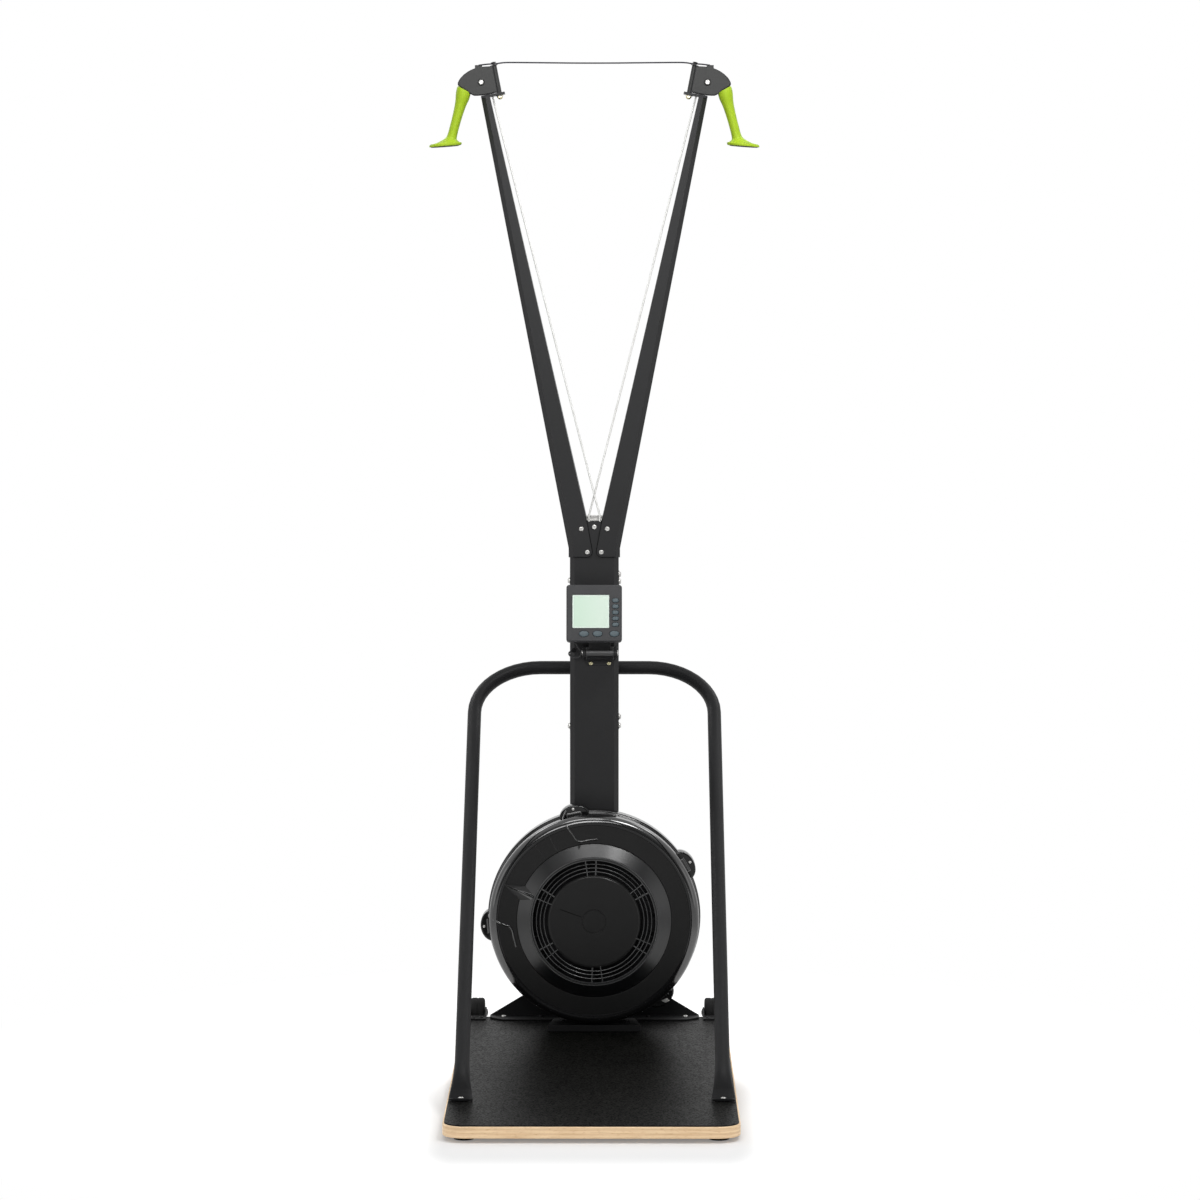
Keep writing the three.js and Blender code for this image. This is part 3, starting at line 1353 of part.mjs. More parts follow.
const monitorGroup = new THREE.Group();
monitorGroup.position.copy(monitorFace);
monitorGroup.rotation.x = -monitorTilt;
monitorGroup.add(
  named('monitor_case', monitorCase(), 'caseGrey'),
  named('monitor_screen', monitorScreen(), 'screenGlass'),
  ...keyPlaces().map((place) => named(place.name, key(place), 'keyGrey')),
);
group.add(monitorGroup);

export default group;
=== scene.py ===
import math

import bmesh
import bpy
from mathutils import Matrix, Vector


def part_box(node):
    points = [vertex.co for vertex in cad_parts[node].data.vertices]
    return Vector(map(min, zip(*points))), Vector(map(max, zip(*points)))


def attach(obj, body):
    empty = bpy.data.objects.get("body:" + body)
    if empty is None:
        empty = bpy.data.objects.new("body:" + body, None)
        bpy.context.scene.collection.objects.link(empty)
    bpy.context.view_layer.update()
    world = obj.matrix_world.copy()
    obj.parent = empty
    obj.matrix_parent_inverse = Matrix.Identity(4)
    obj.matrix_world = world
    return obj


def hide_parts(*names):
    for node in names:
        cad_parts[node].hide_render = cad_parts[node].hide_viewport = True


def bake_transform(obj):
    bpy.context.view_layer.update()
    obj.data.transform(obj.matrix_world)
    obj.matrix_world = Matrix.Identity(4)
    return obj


# Ski trainer machine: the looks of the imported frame, in metres, +Z up, the user standing at -Y.
# Profiles, sizes of fasteners, bevels and rows of places are in millimetres.
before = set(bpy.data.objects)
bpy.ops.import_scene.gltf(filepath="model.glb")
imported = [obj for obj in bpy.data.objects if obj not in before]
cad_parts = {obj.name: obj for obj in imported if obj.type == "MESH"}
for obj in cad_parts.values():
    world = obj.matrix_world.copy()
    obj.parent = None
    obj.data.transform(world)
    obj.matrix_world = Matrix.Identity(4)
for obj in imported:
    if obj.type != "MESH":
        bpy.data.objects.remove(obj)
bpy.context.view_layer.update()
mm = 0.001


def middle(node):
    low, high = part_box(node)
    return (low + high) / 2


def at(x, y, z):
    """A place given in millimetres."""
    return Vector((x * mm, y * mm, z * mm))


# Places read from the frame
mast_low, mast_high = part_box("mast")
mast_front = mast_low.y
mast_back = mast_high.y
shaft_centre = Vector((0, mast_front, middle("drive_shaft").z))
deck_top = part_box("deck_surface")[1].z
pulley_centre = middle("head_pulley_right")
head_y = pulley_centre.y
hinge = Vector((middle("monitor_arm").x, mast_front - 19 * mm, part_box("monitor_bracket")[1].z - 14 * mm))
sides = {"right": 1, "left": -1}
upwards, to_user, to_back = (0, 0, 1), (0, -1, 0), (0, 1, 0)


# Working with pieces
def focus(piece, *others):
    bpy.ops.object.select_all(action="DESELECT")
    for one in (piece, *others):
        one.select_set(True)
    bpy.context.view_layer.objects.active = piece


def open_mesh(piece, mode="FACE", action="DESELECT"):
    focus(piece)
    bpy.ops.object.mode_set(mode="EDIT")
    bpy.ops.mesh.select_mode(type=mode)
    bpy.ops.mesh.select_all(action=action)


def close_mesh():
    bpy.ops.object.mode_set(mode="OBJECT")


def pick(piece, kind, wanted):
    """Selects the corners, edges or faces that pass the test."""
    bpy.ops.mesh.select_mode(type=kind)
    bpy.ops.mesh.select_all(action="DESELECT")
    form = bmesh.from_edit_mesh(piece.data)
    for part in {"VERT": form.verts, "EDGE": form.edges, "FACE": form.faces}[kind]:
        if wanted(part):
            part.select_set(True)
    form.select_flush_mode()
    bmesh.update_edit_mesh(piece.data)


def face_outwards():
    bpy.ops.mesh.select_all(action="SELECT")
    bpy.ops.mesh.normals_make_consistent(inside=False)


def settle(piece, name):
    """Names a piece and puts its place into its mesh."""
    piece.name = name
    piece.data.name = name
    focus(piece)
    bpy.ops.object.transform_apply(location=True, rotation=True, scale=True)
    return piece


def placed(piece, turn=(0, 0, 0), centre=(0, 0, 0)):
    """Turns a piece about the origin by degrees and moves it to a centre."""
    piece.rotation_euler = [math.radians(angle) for angle in turn]
    piece.location = centre
    return settle(piece, piece.name)


def towards_user(piece, centre):
    """Lays a piece that was turned about Z along -Y from a centre."""
    return placed(piece, (90, 0, 0), centre)


def along(piece, centre, direction):
    """Points a piece's Z along a direction from a centre."""
    piece.rotation_euler = Vector(direction).to_track_quat("Z", "Y").to_euler()
    piece.location = centre
    return settle(piece, piece.name)


def with_modifier(piece, kind, **settings):
    focus(piece)
    bpy.ops.object.modifier_add(type=kind)
    modifier = piece.modifiers[-1]
    for key, value in settings.items():
        setattr(modifier, key, value)
    bpy.ops.object.modifier_apply(modifier=modifier.name)


def edged(piece, width, degrees):
    """Rounds every edge that turns by more than an angle."""
    with_modifier(piece, "BEVEL", width=width * mm, segments=2, limit_method="ANGLE",
                  angle_limit=math.radians(degrees), use_clamp_overlap=True)


def cut_away(piece, cutter):
    with_modifier(piece, "BOOLEAN", object=cutter, operation="DIFFERENCE", solver="EXACT")
    bpy.data.objects.remove(cutter)


def smoothed(piece, degrees):
    """Rounds the shading of soft edges and keeps flat faces flat."""
    focus(piece)
    bpy.ops.object.shade_smooth_by_angle(angle=math.radians(degrees))
    with_modifier(piece, "WEIGHTED_NORMAL", keep_sharp=True)
    return piece


def joined(name, pieces):
    focus(*pieces)
    bpy.ops.object.join()
    return settle(pieces[0], name)


def linked(name, data):
    """A new object in the scene."""
    piece = bpy.data.objects.new(name, data)
    bpy.context.scene.collection.objects.link(piece)
    return piece


def mirrored(piece, name):
    """The same piece on the other side of the middle plane."""
    twin = linked(name, piece.data.copy())
    twin.scale = (-1, 1, 1)
    settle(twin, name)
    open_mesh(twin)
    face_outwards()
    close_mesh()
    return twin


def dressed(piece, finish, body, *nodes, slot=None, smooth=None):
    """Gives a finished piece its material, its body and the CAD nodes that it stands for; the slot is not used."""
    if smooth:
        smoothed(piece, smooth)
    piece.data.materials.clear()
    piece.data.materials.append(finish)
    if body:
        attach(piece, body)
    if nodes:
        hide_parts(*nodes)
    return piece


# Ways of making a shape
def circle(name, steps, radius, height=0.0, fill="NOTHING"):
    bpy.ops.object.select_all(action="DESELECT")
    bpy.ops.mesh.primitive_circle_add(vertices=steps, radius=radius, location=(0, 0, height), fill_type=fill)
    return settle(bpy.context.object, name)


def sealed(piece, loop=False):
    """Caps the open ends of a shell, or bridges them into a ring."""
    pick(piece, "EDGE", lambda edge: edge.is_boundary)
    if loop:
        bpy.ops.mesh.bridge_edge_loops()
    else:
        bpy.ops.mesh.fill_holes(sides=0)
    face_outwards()
    close_mesh()
    return piece


def softened(profile, size):
    """A closed profile whose inner corners are cut back by a size, with a point between."""
    points = [Vector(pair) for pair in (profile[-1], *profile, profile[0])]
    out = []
    for before, corner, after in zip(points, points[1:], points[2:]):
        into, away = before - corner, after - corner
        reach = min(size, into.length / 3, away.length / 3)
        first = corner + into.normalized() * reach
        last = corner + away.normalized() * reach
        if into.angle(away, math.pi) > math.radians(165):
            out.append(corner)
        else:
            out += [first, corner * 0.5 + (first + last) * 0.25, last]
    return [(point.x, point.y) for point in out]


def symmetric(rows):
    """A profile and its mirror image in the plane Z = 0."""
    return rows + [(radius, -height) for radius, height in reversed(rows)]


def turned(name, profile, steps=64, loop=False):
    """A solid of revolution about Z: a circle, extruded and resized through (radius, height) pairs."""
    profile = [(radius * mm, height * mm) for radius, height in profile]
    piece = circle(name, steps, *profile[0])
    open_mesh(piece, "VERT", "SELECT")
    for (was, below), (radius, height) in zip(profile, profile[1:]):
        bpy.ops.mesh.extrude_edges_move(TRANSFORM_OT_translate={"value": (0, 0, height - below)})
        grow = radius / was
        bpy.ops.transform.resize(value=(grow, grow, 1), center_override=(0, 0, height))
    return sealed(piece, loop)


def swept(name, stations, steps=32):
    """A closed skin over oval rings: a circle is extruded from station to station and each ring set in place."""
    piece = circle(name, steps, 1 * mm)
    open_mesh(piece, "VERT")
    form = bmesh.from_edit_mesh(piece.data)
    order = form.verts.layers.int.new("order")
    for k, corner in enumerate(form.verts):
        corner[order] = k
    bpy.ops.mesh.select_all(action="SELECT")
    for k, (centre, across, rise, width, height) in enumerate(stations):
        if k:
            bpy.ops.mesh.extrude_edges_move()
        form = bmesh.from_edit_mesh(piece.data)
        order = form.verts.layers.int["order"]
        for corner in form.verts:
            if corner.select:
                turn = 2 * math.pi * corner[order] / steps
                corner.co = centre + across * (width * math.cos(turn)) + rise * (height * math.sin(turn))
        bmesh.update_edit_mesh(piece.data)
    sealed(piece)
    piece.data.attributes.remove(piece.data.attributes["order"])
    return piece


def hulled(name, corners, bevel):
    """The tightest skin over a few corners, with soft edges."""
    piece = circle(name, len(corners), 1 * mm)
    for corner, place in zip(piece.data.vertices, corners):
        corner.co = place
    open_mesh(piece, "VERT", "SELECT")
    bpy.ops.mesh.convex_hull()
    bpy.ops.mesh.select_all(action="SELECT")
    bpy.ops.mesh.bevel(offset=bevel * mm, segments=2, affect="EDGES")
    face_outwards()
    close_mesh()
    return piece


def block(name, low, high, bevel=0.0, segments=3):
    """A box between two corners with its edges rounded."""
    bpy.ops.object.select_all(action="DESELECT")
    low, high = Vector(low), Vector(high)
    bpy.ops.mesh.primitive_cube_add(size=1, location=(low + high) / 2)
    piece = bpy.context.object
    piece.scale = high - low
    settle(piece, name)
    if bevel:
        bevelled(piece, lambda *ends: True, bevel, segments)
    return piece


def bevelled(piece, wanted, offset, segments):
    """Rounds the edges whose two ends pass the test."""
    open_mesh(piece)
    pick(piece, "EDGE", lambda edge: wanted(*(corner.co for corner in edge.verts)))
    bpy.ops.mesh.bevel(offset=offset * mm, segments=segments, affect="EDGES")
    close_mesh()


def merge_faces():
    bpy.ops.mesh.select_all(action="SELECT")
    bpy.ops.mesh.dissolve_limited(angle_limit=math.radians(0.6))


def refined(node, name, bevel):
    """A copy of a CAD node with merged points, whole faces and rounded edges."""
    piece = linked(name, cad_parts[node].data.copy())
    focus(piece)
    bpy.ops.mesh.customdata_custom_splitnormals_clear()
    open_mesh(piece, "VERT", "SELECT")
    bpy.ops.mesh.remove_doubles(threshold=0.01 * mm)
    merge_faces()
    close_mesh()
    settle(piece, name)
    if bevel:
        edged(piece, bevel, 30)
    return smoothed(piece, 32)


def coated(node, name, bevel, finish, body="machine"):
    """The refined copy of a painted node, in this node's place."""
    return dressed(refined(node, name, bevel), finish, body, node, slot="black_paint")


def tube(name, points, radius, steps=16, smooth_path=True):
    """A round cord or wire along points, made from a curve with its UV map along the length."""
    data = bpy.data.curves.new(name, "CURVE")
    data.dimensions = "3D"
    data.bevel_depth = radius
    data.bevel_resolution = max(1, steps // 4 - 1)
    data.use_fill_caps = True
    data.resolution_u = 6
    spline = data.splines.new("BEZIER" if smooth_path else "POLY")
    knots = spline.bezier_points if smooth_path else spline.points
    knots.add(len(points) - 1)
    for knot, place in zip(knots, points):
        if smooth_path:
            knot.co = place
            knot.handle_left_type = knot.handle_right_type = "AUTO"
        else:
            knot.co = (*place, 1)
    focus(linked(name, data))
    bpy.ops.object.convert(target="MESH")
    piece = settle(bpy.context.object, name)
    bpy.ops.object.shade_smooth_by_angle(angle=math.radians(50))
    return piece


# Materials
def wire(tree, socket, value):
    """Gives a socket a link, or a fixed value."""
    if isinstance(value, bpy.types.NodeSocket):
        tree.links.new(value, socket)
    elif socket.type == "RGBA":
        socket.default_value = (*value, 1)
    else:
        socket.default_value = value


def added(tree, kind, inputs=None, **settings):
    """Adds a node with its settings and inputs, and hands back its outputs."""
    new = tree.nodes.new(f"ShaderNode{kind}")
    for key, value in settings.items():
        setattr(new, key, value)
    for key, value in (inputs or {}).items():
        wire(tree, new.inputs[key], value)
    return new.outputs


def object_space(tree, scale=(1, 1, 1), turn=(0, 0, 0)):
    place = added(tree, "TexCoord")["Object"]
    return added(tree, "Mapping", {"Vector": place, "Scale": scale, "Rotation": turn})["Vector"]


def grain(tree, scale, detail=None, stretch=(1, 1, 1)):
    """Noise from 0 to 1 with its scale per metre: soft with a detail, rounded cells without one."""
    inputs = {"Scale": scale, "Vector": object_space(tree, stretch)}
    if detail is None:
        return added(tree, "TexVoronoi", inputs, feature="SMOOTH_F1")["Distance"]
    return added(tree, "TexNoise", {"Detail": detail, **inputs})["Fac"]


def bands(tree, scale, axis, distortion=0.0, turn=(0, 0, 0)):
    inputs = {"Scale": scale, "Distortion": distortion, "Vector": object_space(tree, turn=turn)}
    return added(tree, "TexWave", inputs, bands_direction=axis)["Fac"]


def ramp(tree, factor, *stops):
    """Colours placed along a factor."""
    new = tree.nodes.new("ShaderNodeValToRGB")
    marks = new.color_ramp.elements
    while len(marks) < len(stops):
        marks.new(0.5)
    for mark, (place, colour) in zip(marks, stops):
        mark.position = place
        mark.color = (*colour, 1)
    wire(tree, new.inputs["Fac"], factor)
    return new.outputs["Color"]


def blended(tree, factor, first, second, mode="MIX"):
    return added(tree, "Mix", {0: factor, 6: first, 7: second}, data_type="RGBA", blend_type=mode)[2]


def multiplied(tree, colour, *layers):
    for layer in layers:
        colour = blended(tree, 1.0, colour, layer, "MULTIPLY")
    return colour


def spread(tree, factor, low, high):
    """Maps a factor from 0..1 to low..high."""
    return added(tree, "MapRange", {"Value": factor, "To Min": low, "To Max": high})["Result"]


def faded(tree, distance, near, far, low, high):
    """Maps a distance softly from near..far to low..high."""
    inputs = {"Value": distance, "From Min": near, "From Max": far, "To Min": low, "To Max": high}
    return added(tree, "MapRange", inputs, interpolation_type="SMOOTHSTEP")["Result"]


def new_finish(name, metallic=0.0, specular=0.5):
    finish = bpy.data.materials.new(name)
    finish.use_nodes = True
    tree = finish.node_tree
    shader = tree.nodes["Principled BSDF"].inputs
    shader["Metallic"].default_value = metallic
    shader["Specular IOR Level"].default_value = specular
    return finish, tree, shader


def covered(tree, shader, colour, factor, low, high):
    """Wires a colour, and a factor that gives the roughness from low to high."""
    wire(tree, shader["Base Color"], colour)
    wire(tree, shader["Roughness"], spread(tree, factor, low, high))


def set_bump(tree, shader, factor, strength, depth):
    """Adds a relief of a given depth, over any relief that is already there."""
    inputs = {"Strength": strength, "Distance": depth * mm, "Height": factor}
    if shader["Normal"].is_linked:
        inputs["Normal"] = shader["Normal"].links[0].from_socket
    wire(tree, shader["Normal"], added(tree, "Bump", inputs)["Normal"])


def powder_coat(name, dark, light, rough, specular):
    finish, tree, shader = new_finish(name, specular=specular)
    drift, fine = grain(tree, 7, 4), grain(tree, 900, 2)
    colour = ramp(tree, drift, (0.3, dark), (0.7, light))
    speck = ramp(tree, fine, (0.35, (0.75, 0.75, 0.75)), (0.7, (1.25, 1.25, 1.25)))
    covered(tree, shader, multiplied(tree, colour, speck), drift, *rough)
    set_bump(tree, shader, fine, 0.35, 0.05)
    return finish


def mottled(name, dark, light, tone, wear, rough, relief=None, metallic=0.0, specular=0.5, stops=(0.3, 0.7)):
    """A finish whose tone and wear each follow a grain, with a relief of (grain, strength, depth)."""
    finish, tree, shader = new_finish(name, metallic, specular)
    lumps = relief[0] if relief else tone
    grains = {spec: grain(tree, *spec) for spec in dict.fromkeys((tone, wear, lumps))}
    covered(tree, shader, ramp(tree, grains[tone], (stops[0], dark), (stops[1], light)), grains[wear], *rough)
    if relief:
        set_bump(tree, shader, grains[lumps], *relief[1:])
    return finish


def deck_film():
    """Black phenolic film with a fine non-slip texture, satin enough to mirror the housing softly."""
    finish, tree, shader = new_finish("deck_film_non_slip", specular=0.1)
    coarse, fine, patch = grain(tree, 300, 3), grain(tree, 900, 2), grain(tree, 5, 4)
    base = ramp(tree, patch, (0.35, (0.0014, 0.0014, 0.0013)), (0.7, (0.003, 0.003, 0.0028)))
    speck = ramp(tree, coarse, (0.36, (0.35, 0.35, 0.33)), (0.5, (0.9, 0.9, 0.87)), (0.66, (3.4, 3.4, 3.0)))
    covered(tree, shader, multiplied(tree, base, speck), fine, 0.34, 0.5)
    wire(tree, shader["Specular IOR Level"], faded(tree, coarse, 0.36, 0.66, 0.01, 0.088))
    set_bump(tree, shader, coarse, 0.5, 0.25)
    set_bump(tree, shader, fine, 0.3, 0.1)
    return finish


def birch_ply():
    """The sanded edge of birch ply: pale long grain with faint layers and brown flecks."""
    finish, tree, shader = new_finish("birch_ply_edge", specular=0.3)
    layers = bands(tree, 34.0, "Z", 0.6)
    fibres = grain(tree, 170, 6, (0.1, 0.1, 2.2))
    flecks = grain(tree, 420, 4, (0.25, 0.25, 1.5))
    stain = grain(tree, 14, 4, (1, 1, 3))
    colour = multiplied(
        tree,
        ramp(tree, layers, (0.1, (0.82, 0.6, 0.375)), (0.5, (0.87, 0.655, 0.425)), (0.9, (0.9, 0.695, 0.46))),
        ramp(tree, fibres, (0.32, (0.88, 0.83, 0.77)), (0.5, (0.98, 0.965, 0.94)), (0.68, (1.03, 1.03, 1.02))),
        ramp(tree, flecks, (0.3, (0.86, 0.79, 0.72)), (0.44, (1, 1, 1))),
        ramp(tree, stain, (0.3, (0.94, 0.9, 0.86)), (0.7, (1.02, 1.02, 1.03))))
    covered(tree, shader, colour, fibres, 0.42, 0.62)
    set_bump(tree, shader, flecks, 0.2, 0.08)
    set_bump(tree, shader, layers, 0.1, 0.1)
    return finish


def braided(name, dark, light):
    """Two crossing strands around a cord."""
    finish, tree, shader = new_finish(name, specular=0.25)
    quarter = (0, math.radians(90), 0)
    one, two = (bands(tree, 420.0, "DIAGONAL", 1.5, turn) for turn in ((0, 0, 0), quarter))
    weave = blended(tree, 0.5, one, two)
    tone = ramp(tree, grain(tree, 25, 4), (0.3, (0.9, 0.9, 0.89)), (0.7, (1, 1, 1)))
    wire(tree, shader["Base Color"], multiplied(tree, ramp(tree, weave, (0.25, dark), (0.75, light)), tone))
    wire(tree, shader["Roughness"], 0.7)
    set_bump(tree, shader, weave, 0.4, 0.12)
    return finish


def screen_glass():
    """A reflective display: pale green with a faint grid of dots, darker and greener at the left and paler at the
    right, which is painted light across the flat screen.
    """
    finish, tree, shader = new_finish("display_pale_green", specular=0.3)
    dots = blended(tree, 0.5, bands(tree, 640, "X"), bands(tree, 640, "Z"))
    across = added(tree, "SeparateXYZ", {0: added(tree, "TexCoord")["Object"]})["X"]
    # Painted light: the screen's colour brightens from left to right.
    side = faded(tree, across, -0.045, 0.03, 0.0, 1.0)
    base = ramp(tree, side, (0.0, (0.5, 0.655, 0.53)), (1.0, (0.563, 0.68, 0.585)))
    grid = ramp(tree, dots, (0.2, (0.96, 0.97, 0.96)), (0.6, (1, 1, 1)))
    covered(tree, shader, multiplied(tree, base, grid), dots, 0.2, 0.3)
    return finish


satin_black = powder_coat("powder_coat_satin_black", (0.0065, 0.0066, 0.0072), (0.0105, 0.0106, 0.0114),
                          (0.42, 0.54), 0.3)
head_coat = powder_coat("powder_coat_head_grey", (0.023, 0.0235, 0.0228), (0.029, 0.0296, 0.0288),
                        (0.42, 0.56), 0.3)
cradle_satin = powder_coat("hinge_sleeve_satin_black", (0.006, 0.0062, 0.007), (0.008, 0.0082, 0.009),
                           (0.36, 0.44), 0.8)
# Near-black for painted shade along the arms' edges and in their foot seams, and for the real mark on the damper
# disc.
shade_and_mark_black = powder_coat("painted_shade_and_mark_black", (0.001, 0.001, 0.001), (0.002, 0.002, 0.002), (0.8, 0.9), 0.02)
dull_black = powder_coat("powder_coat_dull_black", (0.007, 0.0071, 0.0075), (0.011, 0.0111, 0.0117),
                         (0.46, 0.56), 0.14)
tube_black = powder_coat("powder_coat_tube_black", (0.0095, 0.0096, 0.0102), (0.0135, 0.0136, 0.0144),
                         (0.42, 0.52), 0.11)
wire_gloss = powder_coat("spring_wire_black", (0.001, 0.001, 0.0012), (0.0018, 0.0018, 0.002), (0.08, 0.14), 1.0)
rim_gloss = powder_coat("polished_rim_black", (0.003, 0.003, 0.0034), (0.005, 0.005, 0.0054), (0.08, 0.14), 1.0)
# A lighter satin black for the grille and the damper's raised lips: partly their own satin finish, partly a painted
# highlight for their light lines.
grille_painted_highlight = powder_coat("grille_edge_satin_painted_highlight", (0.01, 0.0105, 0.011), (0.014, 0.0146, 0.0152), (0.2, 0.28), 0.9)
black_gloss = mottled("moulded_gloss_black", (0.002, 0.0021, 0.0024), (0.004, 0.0041, 0.0045),
                      (9, 5, (1, 1, 2.5)), (240, 6), (0.06, 0.12), ((9, 5, (1, 1, 2.5)), 0.06, 0.4), specular=0.36)
black_matt = mottled("moulded_matt_black", (0.0016, 0.0016, 0.0016), (0.003, 0.003, 0.003),
                     (11, 3), (1100,), (0.26, 0.36), ((1100,), 0.25, 0.03), specular=0.3)
black_cone = mottled("moulded_satin_black", (0.0025, 0.0026, 0.003), (0.0045, 0.0047, 0.0052),
                     (14, 4), (14, 4), (0.27, 0.34), ((500, 3), 0.1, 0.03))
black_rubber = mottled("black_rubber", (0.009, 0.009, 0.009), (0.02, 0.02, 0.02), (30, 6), (30, 6), (0.62, 0.85),
                       ((1400, 2), 0.4, 0.08), specular=0.16, stops=(0.35, 0.75))
black_nylon = mottled("black_nylon", (0.006, 0.006, 0.007), (0.012, 0.012, 0.014), (26, 3), (26, 3), (0.42, 0.58),
                      ((700, 3), 0.2, 0.04), specular=0.25)
bright_steel = mottled("bright_plated_steel", (0.47, 0.465, 0.45), (0.68, 0.675, 0.655), (60, 4),
                       (420, 4, (1, 1, 8)), (0.2, 0.34), ((420, 4, (1, 1, 8)), 0.08, 0.02), 0.55,
                       stops=(0.3, 0.75))
brass_screw = mottled("brass_plated_screw", (0.34, 0.31, 0.18), (0.62, 0.58, 0.4), (300, 4), (300, 4), (0.2, 0.36),
                      ((300, 4), 0.1, 0.02), 1.0, stops=(0.3, 0.75))
dark_steel = mottled("dark_fan_steel", (0.012, 0.012, 0.013), (0.03, 0.03, 0.032), (40, 5), (40, 5), (0.4, 0.62),
                     ((40, 5), 0.1, 0.05), 0.6, 0.3, (0.3, 0.75))
lime = mottled("lime_soft_grip", (0.295, 0.43, 0.016), (0.31, 0.45, 0.018), (20, 3), (900, 2), (0.46, 0.56),
               specular=0.2, stops=(0.3, 0.72))
black_jacket = mottled("black_cable_jacket", (0.008, 0.008, 0.009), (0.016, 0.016, 0.018), (500, 3), (500, 3),
                       (0.36, 0.52), ((500, 3), 0.1, 0.03), specular=0.4)
case_grey = mottled("monitor_case_grey", (0.027, 0.0274, 0.0294), (0.034, 0.0344, 0.0368), (22, 3), (2200,),
                    (0.38, 0.55), ((2200,), 0.35, 0.04), specular=0.3)
key_slate = mottled("key_slate_rubber", (0.052, 0.075, 0.086), (0.07, 0.098, 0.112), (800, 3), (800, 3),
                    (0.35, 0.5), ((800, 3), 0.12, 0.03), specular=0.4)
display_edge = mottled("display_border", (0.6, 0.72, 0.63), (0.66, 0.77, 0.69), (60, 2), (60, 2), (0.25, 0.35),
                       specular=0.4, stops=(0.25, 0.75))
film = deck_film()
birch = birch_ply()
white_braid = braided("white_braided_cord", (0.72, 0.72, 0.7), (0.9, 0.9, 0.88))
black_braid = braided("black_braided_cord", (0.012, 0.012, 0.016), (0.05, 0.05, 0.06))
display = screen_glass()


# Camera, light and floor
def photo_camera():
    """A long lens almost nine metres in front, a little above the monitor, looking slightly down."""
    data = bpy.data.cameras.new("photo_camera")
    data.lens = 128.31
    data.sensor_width = 36
    data.clip_end = 100
    camera = linked("photo_camera", data)
    camera.location = (0.05004, -8.95358, 1.72506)
    camera.rotation_euler = (math.radians(90 - 4.4919), 0, math.radians(0.2277))
    bpy.context.scene.camera = camera


def largest(tree, value, *others):
    for other in others:
        value = added(tree, "Math", {0: value, 1: other}, operation="MAXIMUM")[0]
    return value


def seen_or_mirrored(tree):
    """1 on rays from the camera, and on reflected and transmitted ones."""
    path = added(tree, "LightPath")
    return largest(tree, *(path[f"Is {ray} Ray"] for ray in ("Camera", "Glossy", "Transmission")))


def white_room():
    """White all round the object except a dim patch behind the camera, and a soft even fill."""
    world = bpy.data.worlds.new("white_room")
    bpy.context.scene.world = world
    world.use_nodes = True
    tree = world.node_tree
    parts = added(tree, "SeparateXYZ", {0: added(tree, "TexCoord")["Generated"]})
    sides_and_back = faded(tree, parts["Y"], -0.97, -0.2, 0.12, 1.0)
    below = faded(tree, parts["Z"], 0.0, -0.05, 0.0, 0.9)
    backdrop = tree.nodes["Background"]
    wire(tree, backdrop.inputs["Color"], (1, 1, 1))
    wire(tree, backdrop.inputs["Strength"],
         largest(tree, added(tree, "LightPath")["Is Camera Ray"], sides_and_back, below))
    fill = added(tree, "Background", {"Color": (1, 1, 1), "Strength": faded(tree, parts["Z"], -0.2, 0.9, 0.3, 0.5)})
    choice = added(tree, "MixShader", {"Fac": seen_or_mirrored(tree), 1: fill[0], 2: backdrop.outputs[0]})
    wire(tree, tree.nodes["World Output"].inputs["Surface"], choice[0])


def floor_distance(tree, half, centre, stretch):
    """Distance on the floor from a rectangle, in metres."""
    flow = added(tree, "TexCoord")["Object"]
    for operation, value in (("SUBTRACT", centre), ("ABSOLUTE", None), ("SUBTRACT", half), ("MAXIMUM", (0, 0)),
                             ("MULTIPLY", stretch)):
        inputs = {0: flow, 1: (*value, 0)} if value else {0: flow}
        flow = added(tree, "VectorMath", inputs, operation=operation)[0]
    return added(tree, "VectorMath", {0: flow}, operation="LENGTH")["Value"]


def white_floor():
    """A round sheet of white paper that keeps the object's real shadow, adds a painted soft shadow in front of the
    deck, and fades into the backdrop.
    """
    floor = circle("studio_floor", 96, 1.7, -0.3 * mm, "NGON")
    finish = bpy.data.materials.new("white_paper")
    finish.use_nodes = True
    tree = finish.node_tree
    tree.nodes.remove(tree.nodes["Principled BSDF"])
    paper = added(tree, "BsdfDiffuse", {"Color": (0.8, 0.8, 0.8)})[0]
    shade = added(tree, "BsdfDiffuse", {"Color": (0.6, 0.6, 0.6)})[0]
    white = added(tree, "Emission", {"Strength": 1.0})[0]
    # Painted shadow: the paper's glow is dimmed near a rectangle in front of the deck, a soft drop shadow drawn on
    # the floor.
    painted_shadow_distance = floor_distance(tree, (0.26, 0.28), (0, -0.42), (2.4, 1))
    rim = floor_distance(tree, (0, 0), (0, 0), (1, 1))
    glow_with_painted_shadow = added(tree, "Emission", {"Strength": faded(tree, painted_shadow_distance, 0.06, 0.32, 0.2, 0.74)})[0]
    both = added(tree, "AddShader", {0: shade, 1: glow_with_painted_shadow})[0]
    seen = added(tree, "MixShader", {"Fac": faded(tree, rim, 0.8, 1.5, 0.0, 1.0), 1: both, 2: white})[0]
    choice = added(tree, "MixShader", {"Fac": seen_or_mirrored(tree), 1: paper, 2: seen})[0]
    wire(tree, tree.nodes["Material Output"].inputs["Surface"], choice)
    floor.data.materials.append(finish)


